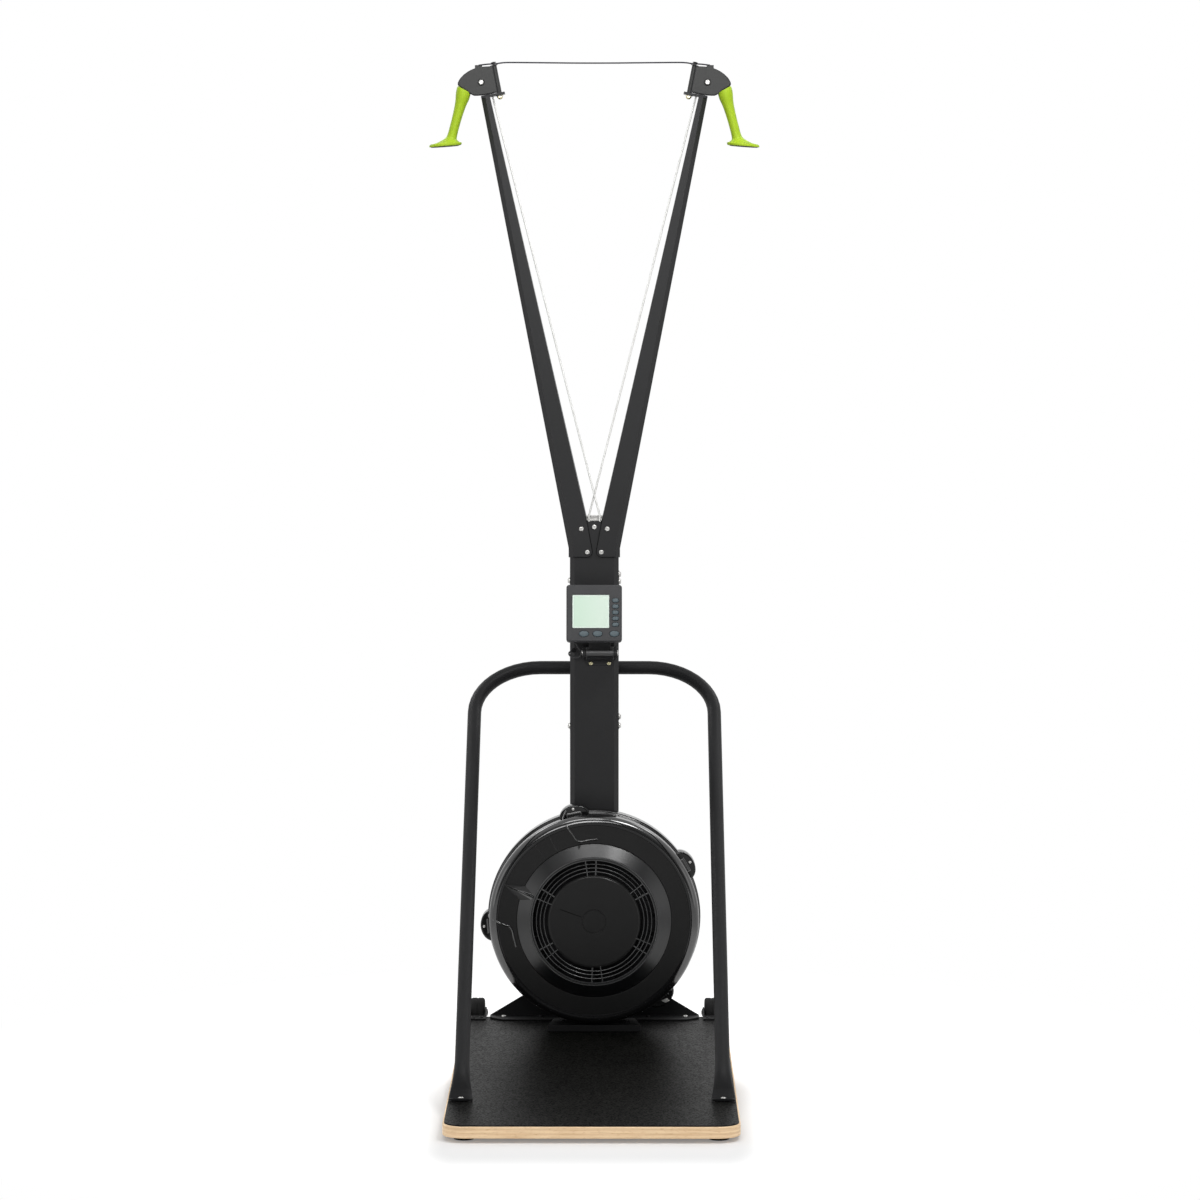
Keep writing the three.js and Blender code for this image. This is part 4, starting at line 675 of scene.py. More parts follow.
def studio_light():
    middle_height, floor_height = (0, 0.2, 1.0), (0, 0.3, 0.5)
    for name, place, aim, size, watts, opening in (
            ("side_left", (-4.2, -1.7, 1.2), middle_height, (2.4, 2.0), 14, 180),
            ("side_right", (4.2, -1.7, 1.2), middle_height, (2.4, 2.0), 11, 180),
            ("top_bank", (1.55, -1.5, 4.4), floor_height, (1.3, 1.0), 74, 180),
            ("top_bank_wide", (-0.5, -1.5, 4.4), floor_height, (1.9, 1.0), 38, 180),
            ("front_fill", (-1.2, -8.6, 3.4), middle_height, (3.0, 2.0), 120, 180),
            ("upper_bank", (0, -4.2, 2.9), (0, 0.5, 2.5), (1.6, 0.6), 9, 60),
            ("back_left", (-2.2, 2.8, 3.6), middle_height, (1.2, 1.2), 24, 180),
            ("back_right", (2.2, 2.8, 3.6), middle_height, (1.2, 1.2), 24, 180)):
        data = bpy.data.lights.new(name, "AREA")
        data.shape = "RECTANGLE"
        data.size, data.size_y = size
        data.energy = watts
        data.spread = math.radians(opening)
        lamp = linked(name, data)
        lamp.location = place
        lamp.rotation_euler = (Vector(aim) - Vector(place)).to_track_quat("-Z", "Y").to_euler()


# Fasteners, made at the origin facing +Z
def dome_screw(radius, height):
    socket, floor = 0.5 * radius, 0.45 * height
    return turned("dome_screw", [
        (0.1 * socket, floor), (socket, floor), (socket, 0.97 * height), (1.12 * socket, height),
        (0.72 * radius, 0.93 * height), (0.9 * radius, 0.7 * height), (radius, 0.4 * height), (radius, 0),
    ], 24)


def hex_nut(radius, height):
    chamfer = 0.14 * height
    nut = turned("hex_nut", [
        (0.88 * radius, 0), (radius, chamfer), (radius, height - chamfer), (0.88 * radius, height),
    ], 6)
    stud = turned("nut_stud", [
        (0.5 * radius, 0.5 * height), (0.5 * radius, 1.25 * height), (0.42 * radius, 1.35 * height),
    ], 20)
    return joined("hex_nut", [nut, stud])


def cap_nut(radius, height):
    """A hexagon with a round dome over its thread."""
    skirt = 0.45 * height
    nut = turned("cap_nut", [
        (0.9 * radius, 0), (radius, 0.1 * height), (radius, skirt), (0.88 * radius, 1.15 * skirt),
    ], 6)
    dome = turned("cap_dome", [
        (0.8 * radius, 0.5 * skirt), (0.8 * radius, 1.25 * skirt), (0.7 * radius, 0.78 * height),
        (0.48 * radius, 0.93 * height), (0.2 * radius, height),
    ], 24)
    return joined("cap_nut", [nut, dome])


def washer(radius, bore, height):
    profile = [(bore, 0), (radius, 0), (radius, height), (bore, height)]
    return turned("washer", softened(profile, 0.2), 28, loop=True)


def fastened(name, make, size, places, facing, finish=None, body="machine"):
    """Copies of one fastener at each place, as one piece, in bright steel unless a finish is given."""
    form = make(*size)
    copies = [along(linked(f"{name}_{k}", form.data.copy()), place, facing) for k, place in enumerate(places)]
    bpy.data.objects.remove(form)
    piece = joined(name, copies) if len(copies) > 1 else settle(copies[0], name)
    return dressed(piece, finish or bright_steel, body, smooth=35)


# Deck
def deck():
    for name, node, finish, slot, front_radius, back_radius, edge in (
            ("ply_board", "deck_board", birch, "ply_wood", 45, 15, 1.6),
            ("non_slip_film", "deck_surface", film, "deck_film", 42, 12, 0.7)):
        low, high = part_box(node)
        board = block(name, low, high)
        for y, radius in ((low.y, front_radius), (high.y, back_radius)):
            bevelled(board, lambda a, b: abs(a.y - y) < 1e-6 and abs(b.y - y) < 1e-6 and abs(a.z - b.z) > 1e-4,
                     radius, 14)
        bevelled(board, lambda a, b: abs(a.z - b.z) < 1e-6, edge, 3)
        dressed(board, finish, "machine", node, slot=slot, smooth=32)


def deck_feet():
    radius, height = 22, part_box("foot_front_right")[1].z / mm
    profile = [(0.78 * radius, 0), (0.92 * radius, 0.8), (radius, 0.45 * height), (radius, 0.8 * height),
               (0.9 * radius, height)]
    for end in ("front", "rear"):
        for side in sides:
            node = f"foot_{end}_{side}"
            centre = middle(node)
            foot = placed(turned(f"rubber_foot_{end}_{side}", profile, 48), centre=(centre.x, centre.y, 0))
            dressed(foot, black_rubber, "machine", node, slot="black_rubber", smooth=40)


def wheels():
    profile = symmetric([(5.3, -16), (14, -16), (15, -12), (22, -12), (24, -16), (28, -16), (31.5, -14.2),
                         (33, -11), (33, -2), (32, -1)])
    for side, sign in sides.items():
        node, fork = f"transport_wheel_{side}", f"wheel_bracket_{side}"
        centre = middle(node)
        wheel = placed(turned(f"rubber_wheel_{side}", profile, loop=True), (0, 90, 0), centre)
        dressed(wheel, black_rubber, f"{side}_wheel", node, slot="black_rubber", smooth=40)
        coated(fork, f"wheel_fork_{side}", 0.6, dull_black)
        low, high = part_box(fork)
        outer, inner = (high.x, low.x)[::sign]
        for label, x, facing in (("outer", outer, sign), ("inner", inner, -sign)):
            fastened(f"wheel_nut_{label}_{side}", hex_nut, (8, 2.6), [(x - facing * 0.6 * mm, centre.y, centre.z)],
                     (facing, 0, 0), dull_black)
        places = [(x, low.y + 12 * mm, deck_top + 3.2 * mm) for x in (low.x + 11 * mm, high.x - 11 * mm)]
        fastened(f"wheel_fork_screws_{side}", dome_screw, (5, 2.8), places, upwards, satin_black)


def base_brackets():
    """The brackets at the foot of the mast."""
    coated("mast_gusset", "gusset_plate", 1.0, dull_black)
    coated("mast_foot_bracket", "front_shoe", 1.2, dull_black)
    flange_top, back = deck_top + 4.3 * mm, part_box("mast_gusset")[1].y
    shoe_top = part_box("mast_foot_bracket")[1].z
    for name, reach, finish in (("gusset_floor_screws", 204, None), ("gusset_inner_screws", 120, dull_black)):
        places = [(x * mm, 556 * mm, flange_top) for x in (-reach, reach)]
        fastened(name, dome_screw, (5.5, 3), places, upwards, finish)
    places = [(x * mm, back, z * mm) for x in (-38, 38) for z in (80, 150, 215)]
    fastened("gusset_mast_nuts", hex_nut, (7.5, 5), places, to_back)
    places = [(x * mm, 440 * mm, shoe_top) for x in (-70, 70)]
    fastened("shoe_screws", dome_screw, (4.5, 1.8), places, upwards, dull_black)


def support_tube():
    """One bent tube with flattened toes, screwed to the deck, and its clamp on the mast."""
    foot, bar = at(0, -394, 45), at(0, 603, 822)
    half_span, radius, bend, taper = 266 * mm, 15 * mm, 145 * mm, 96 * mm
    pad_width, pad_half, pad_front, pad_back = 25 * mm, 3 * mm, -12 * mm, 7 * mm
    pad_z = deck_top + 0.3 * mm + pad_half
    leg = bar - foot
    up = leg.normalized()
    out = Vector((0, -up.z, up.y))
    wide, level = Vector((1, 0, 0)), Vector((0, 0, 1))

    def pad(y, thinner, flatter, rise):
        centre = Vector((half_span, foot.y + y, pad_z + rise * mm))
        return (centre, wide, level, pad_width - thinner * mm, pad_half - flatter * mm)

    stations = [
        pad(pad_front, 1.5, 1.2, 0.8), pad(pad_front + 0.8 * mm, 0, 0, 0.8), pad(pad_front + 3 * mm, 0, 0, 0.8),
        pad(pad_front + 4.4 * mm, 0, 0.5, -0.5), pad(pad_back, 1.5, 0.5, -0.5),
    ]
    for k in range(1, 15):
        share = k / 14
        centre = foot + up * (taper * share) + Vector((half_span, 14 * mm * (1 - share) ** 2, 0))
        width = radius + (pad_width - 2.5 * mm - radius) * (1 - share) ** 1.5
        half = radius - (radius - 3.5 * mm) * max(1 - share / 0.55, 0) ** 1.3
        rise = out.lerp(level, 0.6 * max(1 - share / 0.25, 0)).normalized()
        stations.append((centre, wide, rise, width, half))
    for k in range(13):
        turn = math.radians(90) * k / 12
        centre = foot + up * (leg.length - bend + bend * math.sin(turn))
        centre.x = half_span - bend * (1 - math.cos(turn))
        stations.append((centre, wide * math.cos(turn) + up * math.sin(turn), out, radius, radius))
    flip = Vector((-1, 1, 1))
    stations += [(centre * flip, across * flip, rise, width, height)
                 for centre, across, rise, width, height in reversed(stations)]
    dressed(swept("bent_support_tube", stations), tube_black, "machine", "support_tube", slot="black_paint",
            smooth=40)
    toe = Vector((half_span, foot.y + pad_front + 10.5 * mm, pad_z + pad_half - 1 * mm))
    fastened("toe_screws", dome_screw, (5.4, 2.6), [toe, toe * flip], upwards)
    coated("support_clamp", "bar_clamp", 1.2, satin_black)
    low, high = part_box("support_clamp")
    places = [(x, high.y, z) for x in (low.x + 13 * mm, high.x - 13 * mm)
              for z in (low.z + 6.5 * mm, high.z - 6.5 * mm)]
    fastened("clamp_nuts", hex_nut, (7.5, 5), places, to_back)


# Mast and arms
def paint_edge_shade(piece, width):
    """Paints the narrow bevels along a piece's edges near black: painted shade for the dark reflections along the
    edges.
    """
    piece.data.materials.append(shade_and_mark_black)
    corners = piece.data.vertices
    for face in piece.data.polygons:
        outline = sum((corners[a].co - corners[b].co).length for a, b in face.edge_keys)
        if 2 * face.area / outline < width:
            face.material_index = 1


def mast():
    coated("mast", "mast_column", 0.9, satin_black)
    for side, sign, heights in (("right", 1, (1038, 1022, 720, 700)), ("left", -1, (1024, 699))):
        for name, make, size, lift in (("washers", washer, (8, 3, 1.2), 0), ("bolts", dome_screw, (6, 4.2), 1.1)):
            places = [(sign * (mast_high.x + lift * mm), 526 * mm, z * mm) for z in heights]
            fastened(f"mast_side_{name}_{side}", make, size, places, (sign, 0, 0))


def arms():
    for side in sides:
        # The arms' edge bevels get painted shade.
        paint_edge_shade(coated(f"arm_{side}", f"top_arm_{side}", 0.9, satin_black), 1.5 * mm)
    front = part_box("arm_right")[0].y
    for name, make, size, y, facing, rows in (
            ("fork_screws", dome_screw, (5.2, 2.8), front, to_user, ((28.7, 1142), (15.4, 1090.3))),
            ("mast_top_screw", dome_screw, (5.2, 2.8), mast_front, to_user, ((0, 1146),)),
            ("fork_nuts", hex_nut, (7, 5), mast_back + 2.8 * mm, to_back, ((28.7, 1142), (15.4, 1100)))):
        places = [(x * mm, y, z * mm) for reach, z in rows for x in sorted({-reach, reach})]
        fastened(name, make, size, places, facing)
    guide = refined("cord_guide", "cord_guide_channel", 0)
    low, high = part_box("cord_guide")
    cut_away(guide, block("groove", low + at(-2, -2, 4), Vector((high.x, low.y, high.z)) + at(2, 3, -2.6)))
    edged(guide, 0.5, 40)
    dressed(guide, bright_steel, "machine", "cord_guide", slot="bright_steel", smooth=35)


def arm_seam_shade():
    """Thin near-black tubes along the joints where the arms' feet lie on the head of the mast: painted shade of the
    gaps.
    """
    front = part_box("arm_right")[0].y - 0.15 * mm
    route = [(-47, 1079.4), (-24, 1079.4), (-14, 1079.6), (-7.5, 1083), (-4.6, 1089), (-5.2, 1097), (-9, 1118),
             (-13.5, 1143), (-17.8, 1164)]
    for side, sign in sides.items():
        points = [Vector((-sign * x * mm, front, z * mm)) for x, z in route]
        dressed(tube(f"arm_foot_seam_{side}", points, 0.65 * mm, 8), shade_and_mark_black, "machine")


# Swivel heads
barrel_tilt = math.radians(11)
barrel_foot = Vector((208.8 * mm, head_y, 2100 * mm))
barrel_up = Vector((math.sin(barrel_tilt), 0, math.cos(barrel_tilt)))


def arm_caps():
    """Plugs in the arms' upper ends, cut on the slope of the swivel ears."""
    low, back, foot_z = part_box("arm_right")[0], 518.8 * mm, 2088 * mm
    corners = []
    for x in (229.6 * mm, 248.2 * mm):
        top = barrel_foot.z - (x - barrel_foot.x) * math.tan(barrel_tilt) - 0.1 * mm
        corners += [Vector((x, y, z)) for y in (low.y + 0.4 * mm, back) for z in (foot_z, top)]
    cap = hulled("arm_end_cap_right", corners, 0.5)
    for piece in (cap, mirrored(cap, "arm_end_cap_left")):
        dressed(piece, black_nylon, "machine", smooth=30)


def swivel_pins():
    for side, sign in sides.items():
        flip = Vector((sign, 1, 1))
        up, foot = barrel_up * flip, barrel_foot * flip
        shank = along(turned(f"swivel_shank_{side}", [(3.4, -12), (3.4, 67)], 24), foot, up)
        dressed(shank, head_coat, "machine", f"swivel_pin_{side}", slot="bright_steel", smooth=40)
        for name, make, size, height, facing, finish in (
                ("lower_washer", washer, (9, 3.6, 1.4), -5.6, -1, bright_steel),
                ("cap_nut", cap_nut, (6.4, 8), -6.9, -1, brass_screw),
                ("upper_washer", washer, (8.4, 3.6, 1.2), 60.2, 1, black_nylon),
                ("top_nut", hex_nut, (5.8, 1.9), 66, 1, black_nylon)):
            fastened(f"swivel_{name}_{side}", make, size, [foot + up * (height * mm)], up * facing, finish)


def head_frames():
    for side in sides:
        coated(f"head_frame_{side}", f"swivel_head_{side}", 0.6, head_coat, f"{side}_head")


def head_liners():
    """Black slide plates between the pulley and the steel cheeks, which show as a dark edge around these."""
    for side in sides:
        node = f"head_frame_{side}"
        low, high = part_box(node)
        for label, facing, face_y in (("front", -1, low.y), ("back", 1, high.y)):
            liner = linked(f"pulley_liner_{label}_{side}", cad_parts[node].data.copy())
            open_mesh(liner, "VERT", "SELECT")
            bpy.ops.mesh.remove_doubles(threshold=0.01 * mm)
            pick(liner, "FACE", lambda face: abs(face.calc_center_median().y - face_y) >= 0.1 * mm
                 or face.normal.y * facing <= 0.9)
            bpy.ops.mesh.delete(type="FACE")
            merge_faces()
            bpy.ops.mesh.select_all(action="SELECT")
            bpy.ops.transform.resize(value=(1.06, 1, 1.06), center_override=(low + high) / 2)
            bpy.ops.transform.translate(value=(0, -facing * 2.9 * mm, 0))
            bpy.ops.mesh.extrude_region_move(TRANSFORM_OT_translate={"value": (0, -facing * 1.2 * mm, 0)})
            face_outwards()
            close_mesh()
            dressed(settle(liner, liner.name), black_nylon, f"{side}_head", smooth=30)


def head_pulleys():
    profile = symmetric([(4.3, -7), (10, -7), (11, -5.8), (22, -5.8), (23, -7), (26.4, -7), (27, -6.3),
                         (26.6, -4.8), (22.9, -1.7), (22, -0.7)])
    for side in sides:
        head, centre = f"{side}_head", middle(f"head_pulley_{side}")
        pulley = towards_user(turned(f"cord_pulley_{side}", profile, 56, loop=True), centre)
        dressed(pulley, black_nylon, f"{head}_pulley", f"head_pulley_{side}", slot="black_nylon", smooth=40)
        axle = towards_user(turned(f"pulley_axle_pin_{side}", [(3.9, -11.6), (3.9, 11.6)], 24), centre)
        dressed(axle, bright_steel, head, f"pulley_axle_{side}", slot="bright_steel", smooth=40)
        for label, facing in (("front", -1), ("back", 1)):
            for name, make, size, lift, finish in (("washer", washer, (7.6, 4, 1), 11.6, black_rubber),
                                                   ("bolt", dome_screw, (5.6, 3), 12.5, bright_steel)):
                fastened(f"pulley_{name}_{label}_{side}", make, size, [centre + at(0, facing * lift, 0)],
                         (0, facing, 0), finish, head)


# Handles
handle_tilt = math.radians(15.2)
handle_top = Vector((285.5 * mm, head_y, 2105.2 * mm))
handle_down = Vector((math.sin(handle_tilt), 0, -math.cos(handle_tilt)))
handle_across = Vector((math.cos(handle_tilt), 0, math.sin(handle_tilt)))
handle_length = 128 * mm
top_slant = math.radians(14)
foot_level = 1.28
# Along the grip: share of the length, width, depth, shift outwards, shares of the slanted top and the level foot
grip_rows = [
    (-0.012, 32.5, 37, 0.8, 1.0, 0.0), (0.1, 32, 36.5, 0.5, 0.8, 0.0), (0.25, 25, 31, 0, 0.4, 0.0),
    (0.45, 21.5, 28, 0, 0.0, 0.0), (0.66, 20.5, 28, 0, 0.0, 0.4), (0.8, 21.5, 28, 0, 0.0, 0.7),
    (0.87, 28, 34, 1.8, 0.0, 1.0), (0.93, 46, 48, 5.4, 0.0, foot_level),
]
# Share of the length, width, depth and shift: the flare and the pad under it lie level, the collar is slanted
flare_rows = [(0.948, 56, 54, 7.4), (0.957, 63.6, 58.5, 8.6), (0.969, 66.8, 60, 8.9), (0.99, 67.4, 60, 8.9),
              (1.004, 66, 58.8, 8.9), (1.009, 62, 55, 9)]
base_rows = [(0.985, 59, 52, 9), (1.013, 59, 52, 9), (1.018, 56, 49, 9)]
collar_rows = [(-0.03, 24, 27, 0.4), (-0.026, 27, 31, 0.4), (0.01, 28, 32, 0.4)]


def curve_through(rows, steps):
    """More rows between the given ones, on a smooth curve through them."""
    out = []
    for k in range(len(rows) - 1):
        four = [rows[max(k - 1, 0)], rows[k], rows[k + 1], rows[min(k + 2, len(rows) - 1)]]
        for step in range(steps):
            t = step / steps
            out.append([
                0.5 * (2 * b + (c - a) * t + (2 * a - 5 * b + 4 * c - d) * t * t + (3 * b - a - 3 * c + d) * t ** 3)
                for a, b, c, d in zip(*four)
            ])
    return out + [list(rows[-1])]


def grip_station(share, width, depth, shift, slanted, level, inset=0.0):
    slant = slanted * top_slant - level * handle_tilt
    centre = handle_top + handle_down * (share * handle_length) + handle_across * (shift * mm)
    across = handle_across - handle_down * math.tan(slant)
    return (centre, across, Vector((0, 1, 0)), (width / 2 - inset) * mm, (depth / 2 - inset) * mm)


def handles():
    first, *others = curve_through(grip_rows, 3)
    grip = [grip_station(*first, inset) for inset in (4, 0.8)] + [grip_station(*row) for row in others]
    grip += [grip_station(*row, 0.0, foot_level) for row in flare_rows]
    base = [grip_station(*row, 0.0, foot_level) for row in base_rows]
    collar = [grip_station(*row, 1.0, 0.0) for row in collar_rows]
    grip, base, collar = (swept(f"{name}_right", stations, 40) for name, stations in (
        ("lime_handle", grip), ("handle_base_pad", base), ("handle_stop_collar", collar)))
    for right, finish, slot in ((grip, lime, "lime_grip"), (base, black_rubber, "black_rubber"),
                                (collar, black_rubber, "black_rubber")):
        for side, piece in (("right", right), ("left", mirrored(right, right.name.replace("right", "left")))):
            nodes = [f"handle_{side}"] if right is grip else []
            dressed(piece, finish, f"{side}_handle", *nodes, slot=slot, smooth=50)


# Cords, along the same routes as the frame's
cord_radius = 2 * mm
turn_radius = 24.3 * mm
turn_start = math.radians(178)
turn_end = math.radians(18)


def on_pulley(turn, sign):
    x = sign * (abs(pulley_centre.x) + turn_radius * math.cos(turn))
    return Vector((x, head_y, pulley_centre.z + turn_radius * math.sin(turn)))


def head_cords():
    steps = 16
    for side, sign in sides.items():
        arc = [on_pulley(turn_start + (turn_end - turn_start) * k / steps, sign) for k in range(steps + 1)]
        foot = Vector((arc[0].x, head_y, 2098 * mm))
        end = Vector((sign * handle_top.x, head_y, handle_top.z))
        down = Vector((sign * handle_down.x, 0, handle_down.z))
        around = tube(f"pulley_cord_{side}", [foot, *arc], cord_radius, smooth_path=False)
        dressed(around, white_braid, f"{side}_head", slot="white_cord")
        stretch = [arc[-1].lerp(end, k / 6) for k in range(7)]
        cord = tube(f"pull_cord_{side}", [*stretch, end + down * (20 * mm)], cord_radius, smooth_path=False)
        dressed(cord, white_braid, None, f"head_cord_{side}", slot="white_cord")
        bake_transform(cord)


def drive_cords():
    """From under each head, across the fork and down inside the mast to its spool."""
    for side, sign, guide_y, spool_y in (("right", 1, 487.5, 523), ("left", -1, 482.2, 499)):
        start = Vector((on_pulley(turn_start, sign).x, head_y, 2097.7 * mm))
        points = [
            start, Vector((sign * 223.4 * mm, head_y, 2092 * mm)), at(-sign * 12, guide_y, 1170),
            at(-sign * 12, guide_y, 1146), at(32.3, spool_y, 323), at(32.3, spool_y, 287),
        ]
        cord = tube(f"lift_cord_{side}", points, cord_radius, 12, smooth_path=False)
        dressed(cord, white_braid, "machine", f"drive_cord_{side}", slot="white_cord")


def tie_cords():
    low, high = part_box("tie_cord")
    z, reach, radius = (low.z + high.z) / 2 - 0.1 * mm, high.x, (high.z - low.z) / 2
    shape = [(1.0, -3.2), (0.965, -2.3), (0.93, -1.1), (0.885, -0.35), (0.82, -0.2), (0.65, -0.5), (0.4, -1.0),
             (0.2, -1.4)]
    shape += [(0, -1.5)] + [(-share, drop) for share, drop in reversed(shape)]
    points = [Vector((reach * share, head_y, z + drop * mm)) for share, drop in shape]
    tie = tube("tie_cord_between_heads", points, radius, 12)
    dressed(tie, black_braid, "machine", "tie_cord", slot="black_cord")
    for side, sign in sides.items():
        start = Vector((sign * 222.7 * mm, head_y, z - 3.2 * mm))
        end = Vector((sign * 254 * mm, head_y, 2159.9 * mm))
        halfway = start.lerp(end, 0.5) + at(0, 0, 0.4)
        tail = tube(f"tie_cord_tail_{side}", [start, halfway, end], radius, 12)
        dressed(tail, black_braid, f"{side}_head", f"tie_cord_end_{side}", slot="black_cord")


# Flywheel housing: drawn around Z in millimetres, with Z as the depth towards the user
lug_degrees = (101, 30, 185, -50)


def around_shaft(degrees, radius, depth):
    turn = math.radians(degrees)
    return at(radius * math.cos(turn), radius * math.sin(turn), depth)


def facing_user(x, z, depth):
    """A place by its X, its height and its depth in front of the mast."""
    return Vector((x * mm, shaft_centre.y - depth * mm, z * mm))


def beside_shaft(degrees, radius, depth):
    """A place around the shaft on the finished machine."""
    x, rise, forward = around_shaft(degrees, radius, depth)
    return shaft_centre + Vector((x, -forward, rise))


def partly(piece, finish, wanted):
    """Gives a second finish to the faces whose distance from the shaft and depth pass the test."""
    piece.data.materials.append(finish)
    place = len(piece.data.materials) - 1
    for face in piece.data.polygons:
        away = (face.center - shaft_centre) / mm
        if wanted(math.hypot(away.x, away.z), -away.y):
            face.material_index = place


def housing(name, profile, back, front, node):
    """A shell with its four lugs: oval bosses on the rim with rounded edges."""
    pieces = [turned(name, profile, 128, loop=True)]
    deep = front - back
    for k, degrees in enumerate(lug_degrees):
        lug = turned(f"lug_{k}", [
            (0.86, 0), (0.95, 0.05 * deep), (1, 0.16 * deep), (1, 0.8 * deep), (0.96, 0.92 * deep), (0.88, deep),
        ], 48)
        lug.scale = (26, 34, 1)
        settle(lug, lug.name)
        pieces.append(placed(lug, (0, 0, degrees), around_shaft(degrees, 226, back)))
    shell = towards_user(joined(name, pieces), shaft_centre)
    return dressed(shell, black_gloss, "machine", node, slot="gloss_black", smooth=34)


def housing_rear():
    radius, rim, wall, bevel, hole, start = 235, 51, 3, 6, 24, 0.3
    floor, side = start + wall + 1.2, radius - 1.5
    profile = softened([
        (hole, start), (hole + 20, start), (hole + 22, start + 1), (118, start + 1), (120, start), (150, start),
        (152, start + 1), (200, start + 1), (202, start), (side - bevel, start), (side, start + bevel),
        (side, rim - 7), (radius, rim - 6), (radius, rim - 0.8), (radius - 0.8, rim), (radius - wall, rim),
        (radius - wall, start + wall + bevel), (radius - wall - bevel, floor), (hole, floor),
    ], 0.5)
    shell = housing("fan_housing_back", profile, 19, rim, "housing_rear")
    partly(shell, rim_gloss, lambda away, depth: depth > rim - 7 and side - 0.1 < away < radius + 1)


def housing_front():
    lip, body, start, face = 233, 231, 51.3, 116
    mouth, seat, wall, round_off = 170, 160, 3, 16
    grained, ledge = face - 0.9, face - 3.5
    flat = body - round_off
    profile = [(lip - 0.8, start), (lip, start + 0.8), (lip, start + 6.2), (lip - 0.8, start + 7),
               (body, start + 7.4)]
    for k in range(9):
        turn = math.radians(90) * k / 8
        profile.append((flat + round_off * math.cos(turn), face - round_off + round_off * math.sin(turn)))
    profile += [
        (flat - 4, face), (flat - 4.8, grained), (mouth + 3, grained), (mouth + 0.8, face - 1.1),
        (mouth, face - 1.9), (mouth, ledge), (seat, ledge), (seat, ledge - wall), (flat, ledge - wall),
        (body - wall, face - round_off - wall), (body - wall, start),
    ]
    shell = housing("fan_housing_front", profile, start, start + 14, "housing_front")
    partly(shell, black_matt, lambda away, depth: abs(depth - grained) < 0.3 and mouth < away < flat)
    partly(shell, rim_gloss, lambda away, depth: depth < start + 7.3 and body < away < lip)
    partly(shell, rim_gloss, lambda away, depth: depth > face - round_off and flat < away < body)


def housing_trim():
    """Screws and straps on the lugs, a steel latch, two wire clips and the fine lines of the damper's scale."""
    places = [beside_shaft(degrees, 244, 65.3) for degrees in lug_degrees]
    fastened("lug_screws", dome_screw, (3.2, 2.2), places, to_user)
    straps = [placed(block(f"lug_strap_{k}", at(226, -17, 62), at(238, 17, 70), 2.6, 4), (0, 0, degrees))
              for k, degrees in enumerate(lug_degrees)]
    dressed(towards_user(joined("lug_straps", straps), shaft_centre), rim_gloss, "machine", smooth=35)
    outline = ((147, 101), (161, 107), (167, 101), (158, 96))
    latch = hulled("steel_latch", [facing_user(x, z, depth) for depth in (71, 60) for x, z in outline], 1.0)
    dressed(latch, bright_steel, "machine", smooth=35)
    top_clip = [(-62, 523, 66), (-66, 514, 78), (-68, 507, 98), (-64, 500, 110), (-58, 492, 116.4),
                (-46, 476, 116.6), (-36.5, 463.5, 116.6), (-31, 461.5, 116.6), (-12, 464.5, 116.6),
                (7.8, 466.4, 115.0)]
    side_clip = [(-229, 297, 70), (-231.5, 293.5, 88), (-229, 291, 102), (-222, 288, 112), (-212, 283.5, 116.6),
                 (-198, 277, 116.6), (-187, 273.5, 116.6), (-183, 270, 116.6), (-177, 250, 116.6),
                 (-171.2, 228, 115.0)]
    for name, route in (("top_wire_clip", top_clip), ("side_wire_clip", side_clip)):
        dressed(tube(name, [facing_user(*row) for row in route], 2.3 * mm, 12), wire_gloss, "machine")
    for k, degrees in enumerate((118, 128)):
        points = [beside_shaft(degrees, 173 + 8.4 * step, 115.2) for step in range(6)]
        dressed(tube(f"scale_line_{k}", points, 0.4 * mm, 8), black_gloss, "machine")


# Damper: the same drawing, turned by the lever
lever_degrees = 158
cone_foot, cone_edge, cone_top, cone_base = 169.2, 143, 134, 116.8


def damper():
    lip_inner, base, lip, back, seat = 134.6, 112.8, 1.5, 130, 160.3
    top, level, cone = cone_top, cone_base, cone_edge
    grille = [turned("damper_cone", [
        (cone_foot, base), (cone_foot, level - 0.8), (cone_foot - 0.6, level), (cone + 0.4, top - 0.3),
        (cone - 0.6, top + 0.3), (cone - 1.1, top + lip), (cone - 3.4, top + lip), (cone - 4, top),
        (lip_inner + 2.6, top), (lip_inner + 2.1, top + 1), (lip_inner + 0.4, top + 1), (lip_inner, top),
        (lip_inner, back), (cone - 3, back), (seat, base),
    ], 128, loop=True)]
    for k, radius in enumerate((110, 118.3, 126.8)):
        inner, outer = radius - 1.1, radius + 1.1
        grille.append(turned(f"grille_ring_{k}", [
            (inner, back), (outer, back), (outer, top - 0.9), (outer - 0.9, top), (inner + 0.9, top),
            (inner, top - 0.9),
        ], 96, loop=True))
    for k in range(6):
        for offset, low, high, thick in ((0, back, top, 1.1), (-10, back - 1.8, back + 1, 1.6)):
            bar = block(f"grille_bar_{k}_{offset}", at(100, -thick, low), at(135.6, thick, high), 0.4, 2)
            grille.append(placed(bar, (0, 0, lever_degrees + 60 * k + offset)))
    whole = towards_user(joined("damper_ring", grille + damper_lever()), shaft_centre)
    dressed(whole, black_cone, "air_damper", "damper", slot="gloss_black", smooth=30)

    def under_ridge(away):
        return top - 1.5 - 0.2 * (away - cone)

    # The grille and the raised lips take the lighter finish: painted highlight along their edges.
    partly(whole, grille_painted_highlight, lambda away, depth: away < 129.5 or depth > top + 0.9)
    partly(whole, black_matt, lambda away, depth: away > 160 and level + 0.4 < depth < under_ridge(away))
    partly(whole, rim_gloss, lambda away, depth: away > cone + 0.5 and depth > under_ridge(away))
    corners = ((-36.5, 452, 118.2), (-29.5, 454, 118.2), (-33.6, 444.5, 123), (-33.2, 445.5, 119))
    notch = hulled("cone_notch", [facing_user(*corner) for corner in corners], 0.3)
    dressed(notch, black_matt, "air_damper", smooth=30)


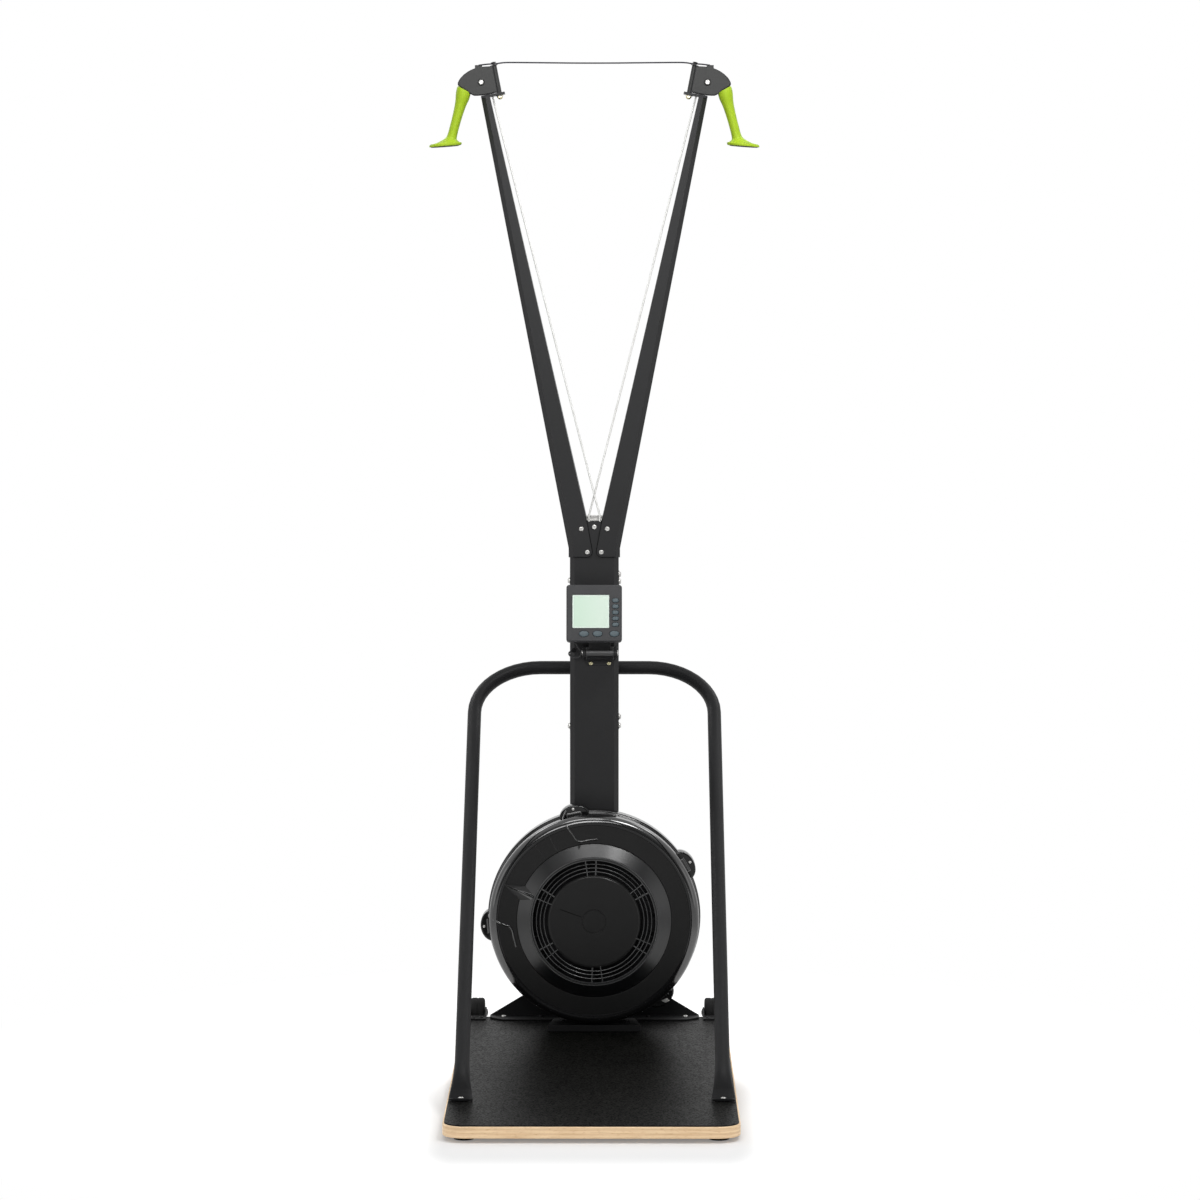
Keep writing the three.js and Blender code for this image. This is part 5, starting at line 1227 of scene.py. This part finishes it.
def damper_lever():
    """A pointed fin from the cone to the rim, with a thin double ridge."""
    cone, top, face, tip = cone_edge, cone_top, cone_base, 214
    rows = [(0, cone, top), (0, tip, face + 1), (0.3, tip - 2, face), (-0.3, tip - 2, face), (0, 195, face + 7.5),
            (-4.7, cone_foot, face), (6.5, cone_foot, face), (-2.2, cone, top - 2), (3.0, cone, top - 2)]
    pieces = [hulled("damper_lever", [around_shaft(lever_degrees + turn, *row) for turn, *row in rows], 0.4)]
    ridge = [(cone + 0.5, top + 1.4), (160, top - 3.2), (178, top - 6.8), (195, face + 8.1), (212, face + 1.6)]
    for k, offset in enumerate((-1.5, 1.5)):
        points = [at(radius, offset * (1 - 0.15 * step), depth) for step, (radius, depth) in enumerate(ridge)]
        pieces.append(placed(tube(f"lever_rib_{k}", points, 0.9 * mm, 8), (0, 0, lever_degrees)))
    return pieces


def damper_disc():
    radius, back, top, badge, groove = 102, 130, 134, 26.5, 2.0
    disc = turned("damper_disc", [
        (4, top - 0.4), (badge - groove - 3, top - 0.4), (badge - groove, top - 0.5),
        (badge - groove + 0.2, top - 2.6), (badge - 0.2, top - 2.6), (badge, top), (badge + 1, top + 0.2),
        (radius - 4, top + 0.2), (radius - 3, top - 0.6), (radius - 0.8, top - 0.7), (radius, top - 1.6),
        (radius, back),
    ], 128)
    dressed(towards_user(disc, shaft_centre), black_matt, "air_damper", smooth=30)
    line = block("disc_mark", at(29, -0.7, top), at(79, 0.7, top + 0.5), 0.15, 1)
    dressed(towards_user(placed(line, (0, 0, 160)), shaft_centre), shade_and_mark_black, "air_damper")


# Monitor: drawn upright in millimetres around the middle of its face, then leaned back
monitor_lean = 10
monitor_face = at(0, 399, 961.5)
case_width, case_height, case_depth, case_corner = 122, 125, 34, 6.5
screen_width, screen_height, screen_x, screen_z = 81, 73.5, -7.3, 4
keys = [(f"side_key_{k + 1}", 46.8, 28 - 13.3 * k, 14.4, 9) for k in range(5)]
keys += [(f"bottom_key_{k + 1}", x, -45.5, 21.2, 13) for k, x in enumerate((-22.5, 7.5, 44.3))]
widest_pill = 18


def leaned(piece):
    return placed(piece, (-monitor_lean, 0, 0), monitor_face)


def stretched(piece, distance):
    """Pulls the two halves of a round piece apart along X, which makes it a pill."""
    for sign in (1, -1):
        open_mesh(piece, "VERT")
        pick(piece, "VERT", lambda corner: corner.co.x * sign > 0.01 * mm)
        bpy.ops.transform.translate(value=(sign * distance * mm, 0, 0))
        close_mesh()


def oval(name, x, z, width, height, profile):
    """A button or pocket facing the user: an oval, or a pill where it is small, from (share, height) pairs."""
    form = turned(name, profile, 40)
    pill = width < widest_pill
    form.scale = ((height if pill else width) / 2, height / 2, 1)
    settle(form, name)
    if pill:
        stretched(form, (width - height) / 2)
    return towards_user(form, at(x, 0, z))


def round_corners(piece, corner, segments):
    """Rounds the four edges that run from a panel's front to its back."""
    bevelled(piece, lambda a, b: abs(a.y - b.y) > 1e-5, corner, segments)
    return piece


def screen_panel(name, inset, front, back, corner):
    half_width, half_height = screen_width / 2 - inset, screen_height / 2 - inset
    panel = block(name, at(screen_x - half_width, front, screen_z - half_height),
                  at(screen_x + half_width, back, screen_z + half_height))
    return round_corners(panel, corner, 4)


def monitor_case():
    right, top, room = case_width / 2, case_height / 2, 1.3
    case = block("monitor_housing", at(-right, 0, -top), at(right, case_depth, top))
    round_corners(case, case_corner, 8)
    bevelled(case, lambda a, b: abs(a.y - b.y) < 1e-6, 2.6, 4)
    cutters = [screen_panel("recess", -0.8, -3, 3.5, 2)]
    for name, x, z, width, height in keys:
        cutters.append(oval(f"{name}_pocket", x, z, width + room, height + room, [(1, -4), (1, 3)]))
    cut_away(case, joined("cutters", cutters))
    edged(case, 0.35, 50)
    dressed(leaned(case), case_grey, "monitor", "monitor_case", slot="case_grey", smooth=35)
    proud, seam = at(0.1, 0, 0.1), case_depth * 0.55
    gasket = block("monitor_seam_gasket", at(-right, seam, -top) - proud, at(right, seam + 1, top) + proud)
    dressed(leaned(round_corners(gasket, case_corner, 8)), black_rubber, "monitor", smooth=35)


def monitor_screen():
    border = leaned(screen_panel("display_frame", 0.3, 2.2, 3.1, 1.8))
    dressed(border, display_edge, "monitor", "monitor_screen", slot="screen_green", smooth=35)
    glass = leaned(screen_panel("display_panel", 3.2, 1.95, 2.6, 1.0))
    dressed(glass, display, "monitor", slot="screen_green", smooth=35)


def monitor_keys():
    dome = [(0.98, -2.8), (1, -1), (0.99, 0.4), (0.93, 1.0), (0.8, 1.3), (0.5, 1.46), (0.2, 1.5)]
    for name, x, z, width, height in keys:
        key = leaned(oval(f"{name}_cap", x, z, width, height, dome))
        dressed(key, key_slate, f"{name}_body", name, slot="key_slate", smooth=50)


def monitor_mount():
    coated("monitor_bracket", "hinge_bracket", 0.9, satin_black)
    coated("monitor_arm", "hinge_arm", 0.9, satin_black, "monitor")
    sleeve = turned("hinge_sleeve", symmetric([(14.1, -30), (14.5, -29.6)]), 56)
    dressed(placed(sleeve, (0, 90, 0), hinge), cradle_satin, "monitor", smooth=40)
    inner, outer, edge = 14.9 * mm, 17.8 * mm, at(29.5, 0, 0)
    stations = []
    for k in range(15):
        turn = math.radians(-28 - 68 * k / 14)
        away = Vector((0, -math.cos(turn), math.sin(turn)))
        rise = away * (outer - inner) / 2
        stations.append((hinge + away * (inner + outer) / 2, rise + edge, rise - edge, 1, 1))
    cradle = swept("hinge_cradle", stations, 4)
    edged(cradle, 0.7, 40)
    dressed(cradle, satin_black, "machine", smooth=35)
    places = [(x * mm, mast_front - 4.3 * mm, hinge.z - 24 * mm) for x in (-7.6, 32.3)]
    fastened("bracket_brass_screws", dome_screw, (4.4, 1.8), places, to_user, brass_screw)
    for side, sign in sides.items():
        fastened(f"hinge_bolt_{side}", dome_screw, (6, 2.4), [hinge + at(sign * 38.3, 0, 0)], (sign, 0, 0))


def monitor_cable():
    """A short loop from the back of the case to the hole in the mast: X, depth in front of the mast, rise."""
    route = [(-40.5, 51, 25.8), (-37, 40, 17), (-30, 27, 3.8), (-31, 21, -7.2), (-44, 16, -9.7), (-56, 12, -2.7),
             (-51, 9, 3.8), (-45, 5, 4.3), (-45, -5, 4.3)]
    points = [Vector((x * mm, mast_front - depth * mm, hinge.z + rise * mm)) for x, depth, rise in route]
    cable = tube("monitor_lead", points, 1.8 * mm, 12)
    dressed(cable, black_jacket, None, "monitor_cable", slot="black_cord")
    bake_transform(cable)
    grommet = towards_user(washer(5.2, 2, 1.6), (points[-2].x, mast_front, points[-2].z))
    dressed(settle(grommet, "lead_grommet"), black_rubber, "machine", smooth=40)


def inner_nodes():
    """Frame nodes inside the housing and the mast keep their own shape."""
    for node, finish in (("flywheel", dark_steel), ("drive_shaft", bright_steel), ("bearing_front", bright_steel),
                         ("bearing_rear", bright_steel), ("spool_front", black_nylon), ("spool_rear", black_nylon),
                         ("return_pulley", black_nylon), ("return_cord", black_braid)):
        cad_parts[node].material_slots[0].material = finish


photo_camera()
white_room()
white_floor()
studio_light()
bpy.context.scene.view_settings.view_transform = "Standard"
for build in (drive_cords, head_cords, tie_cords, monitor_cable, deck, deck_feet, wheels, base_brackets,
              support_tube, mast, arms, arm_seam_shade, arm_caps, swivel_pins, head_frames, head_liners, head_pulleys,
              handles, housing_rear, housing_front, housing_trim, damper, damper_disc, monitor_case,
              monitor_screen, monitor_keys, monitor_mount, inner_nodes):
    build()
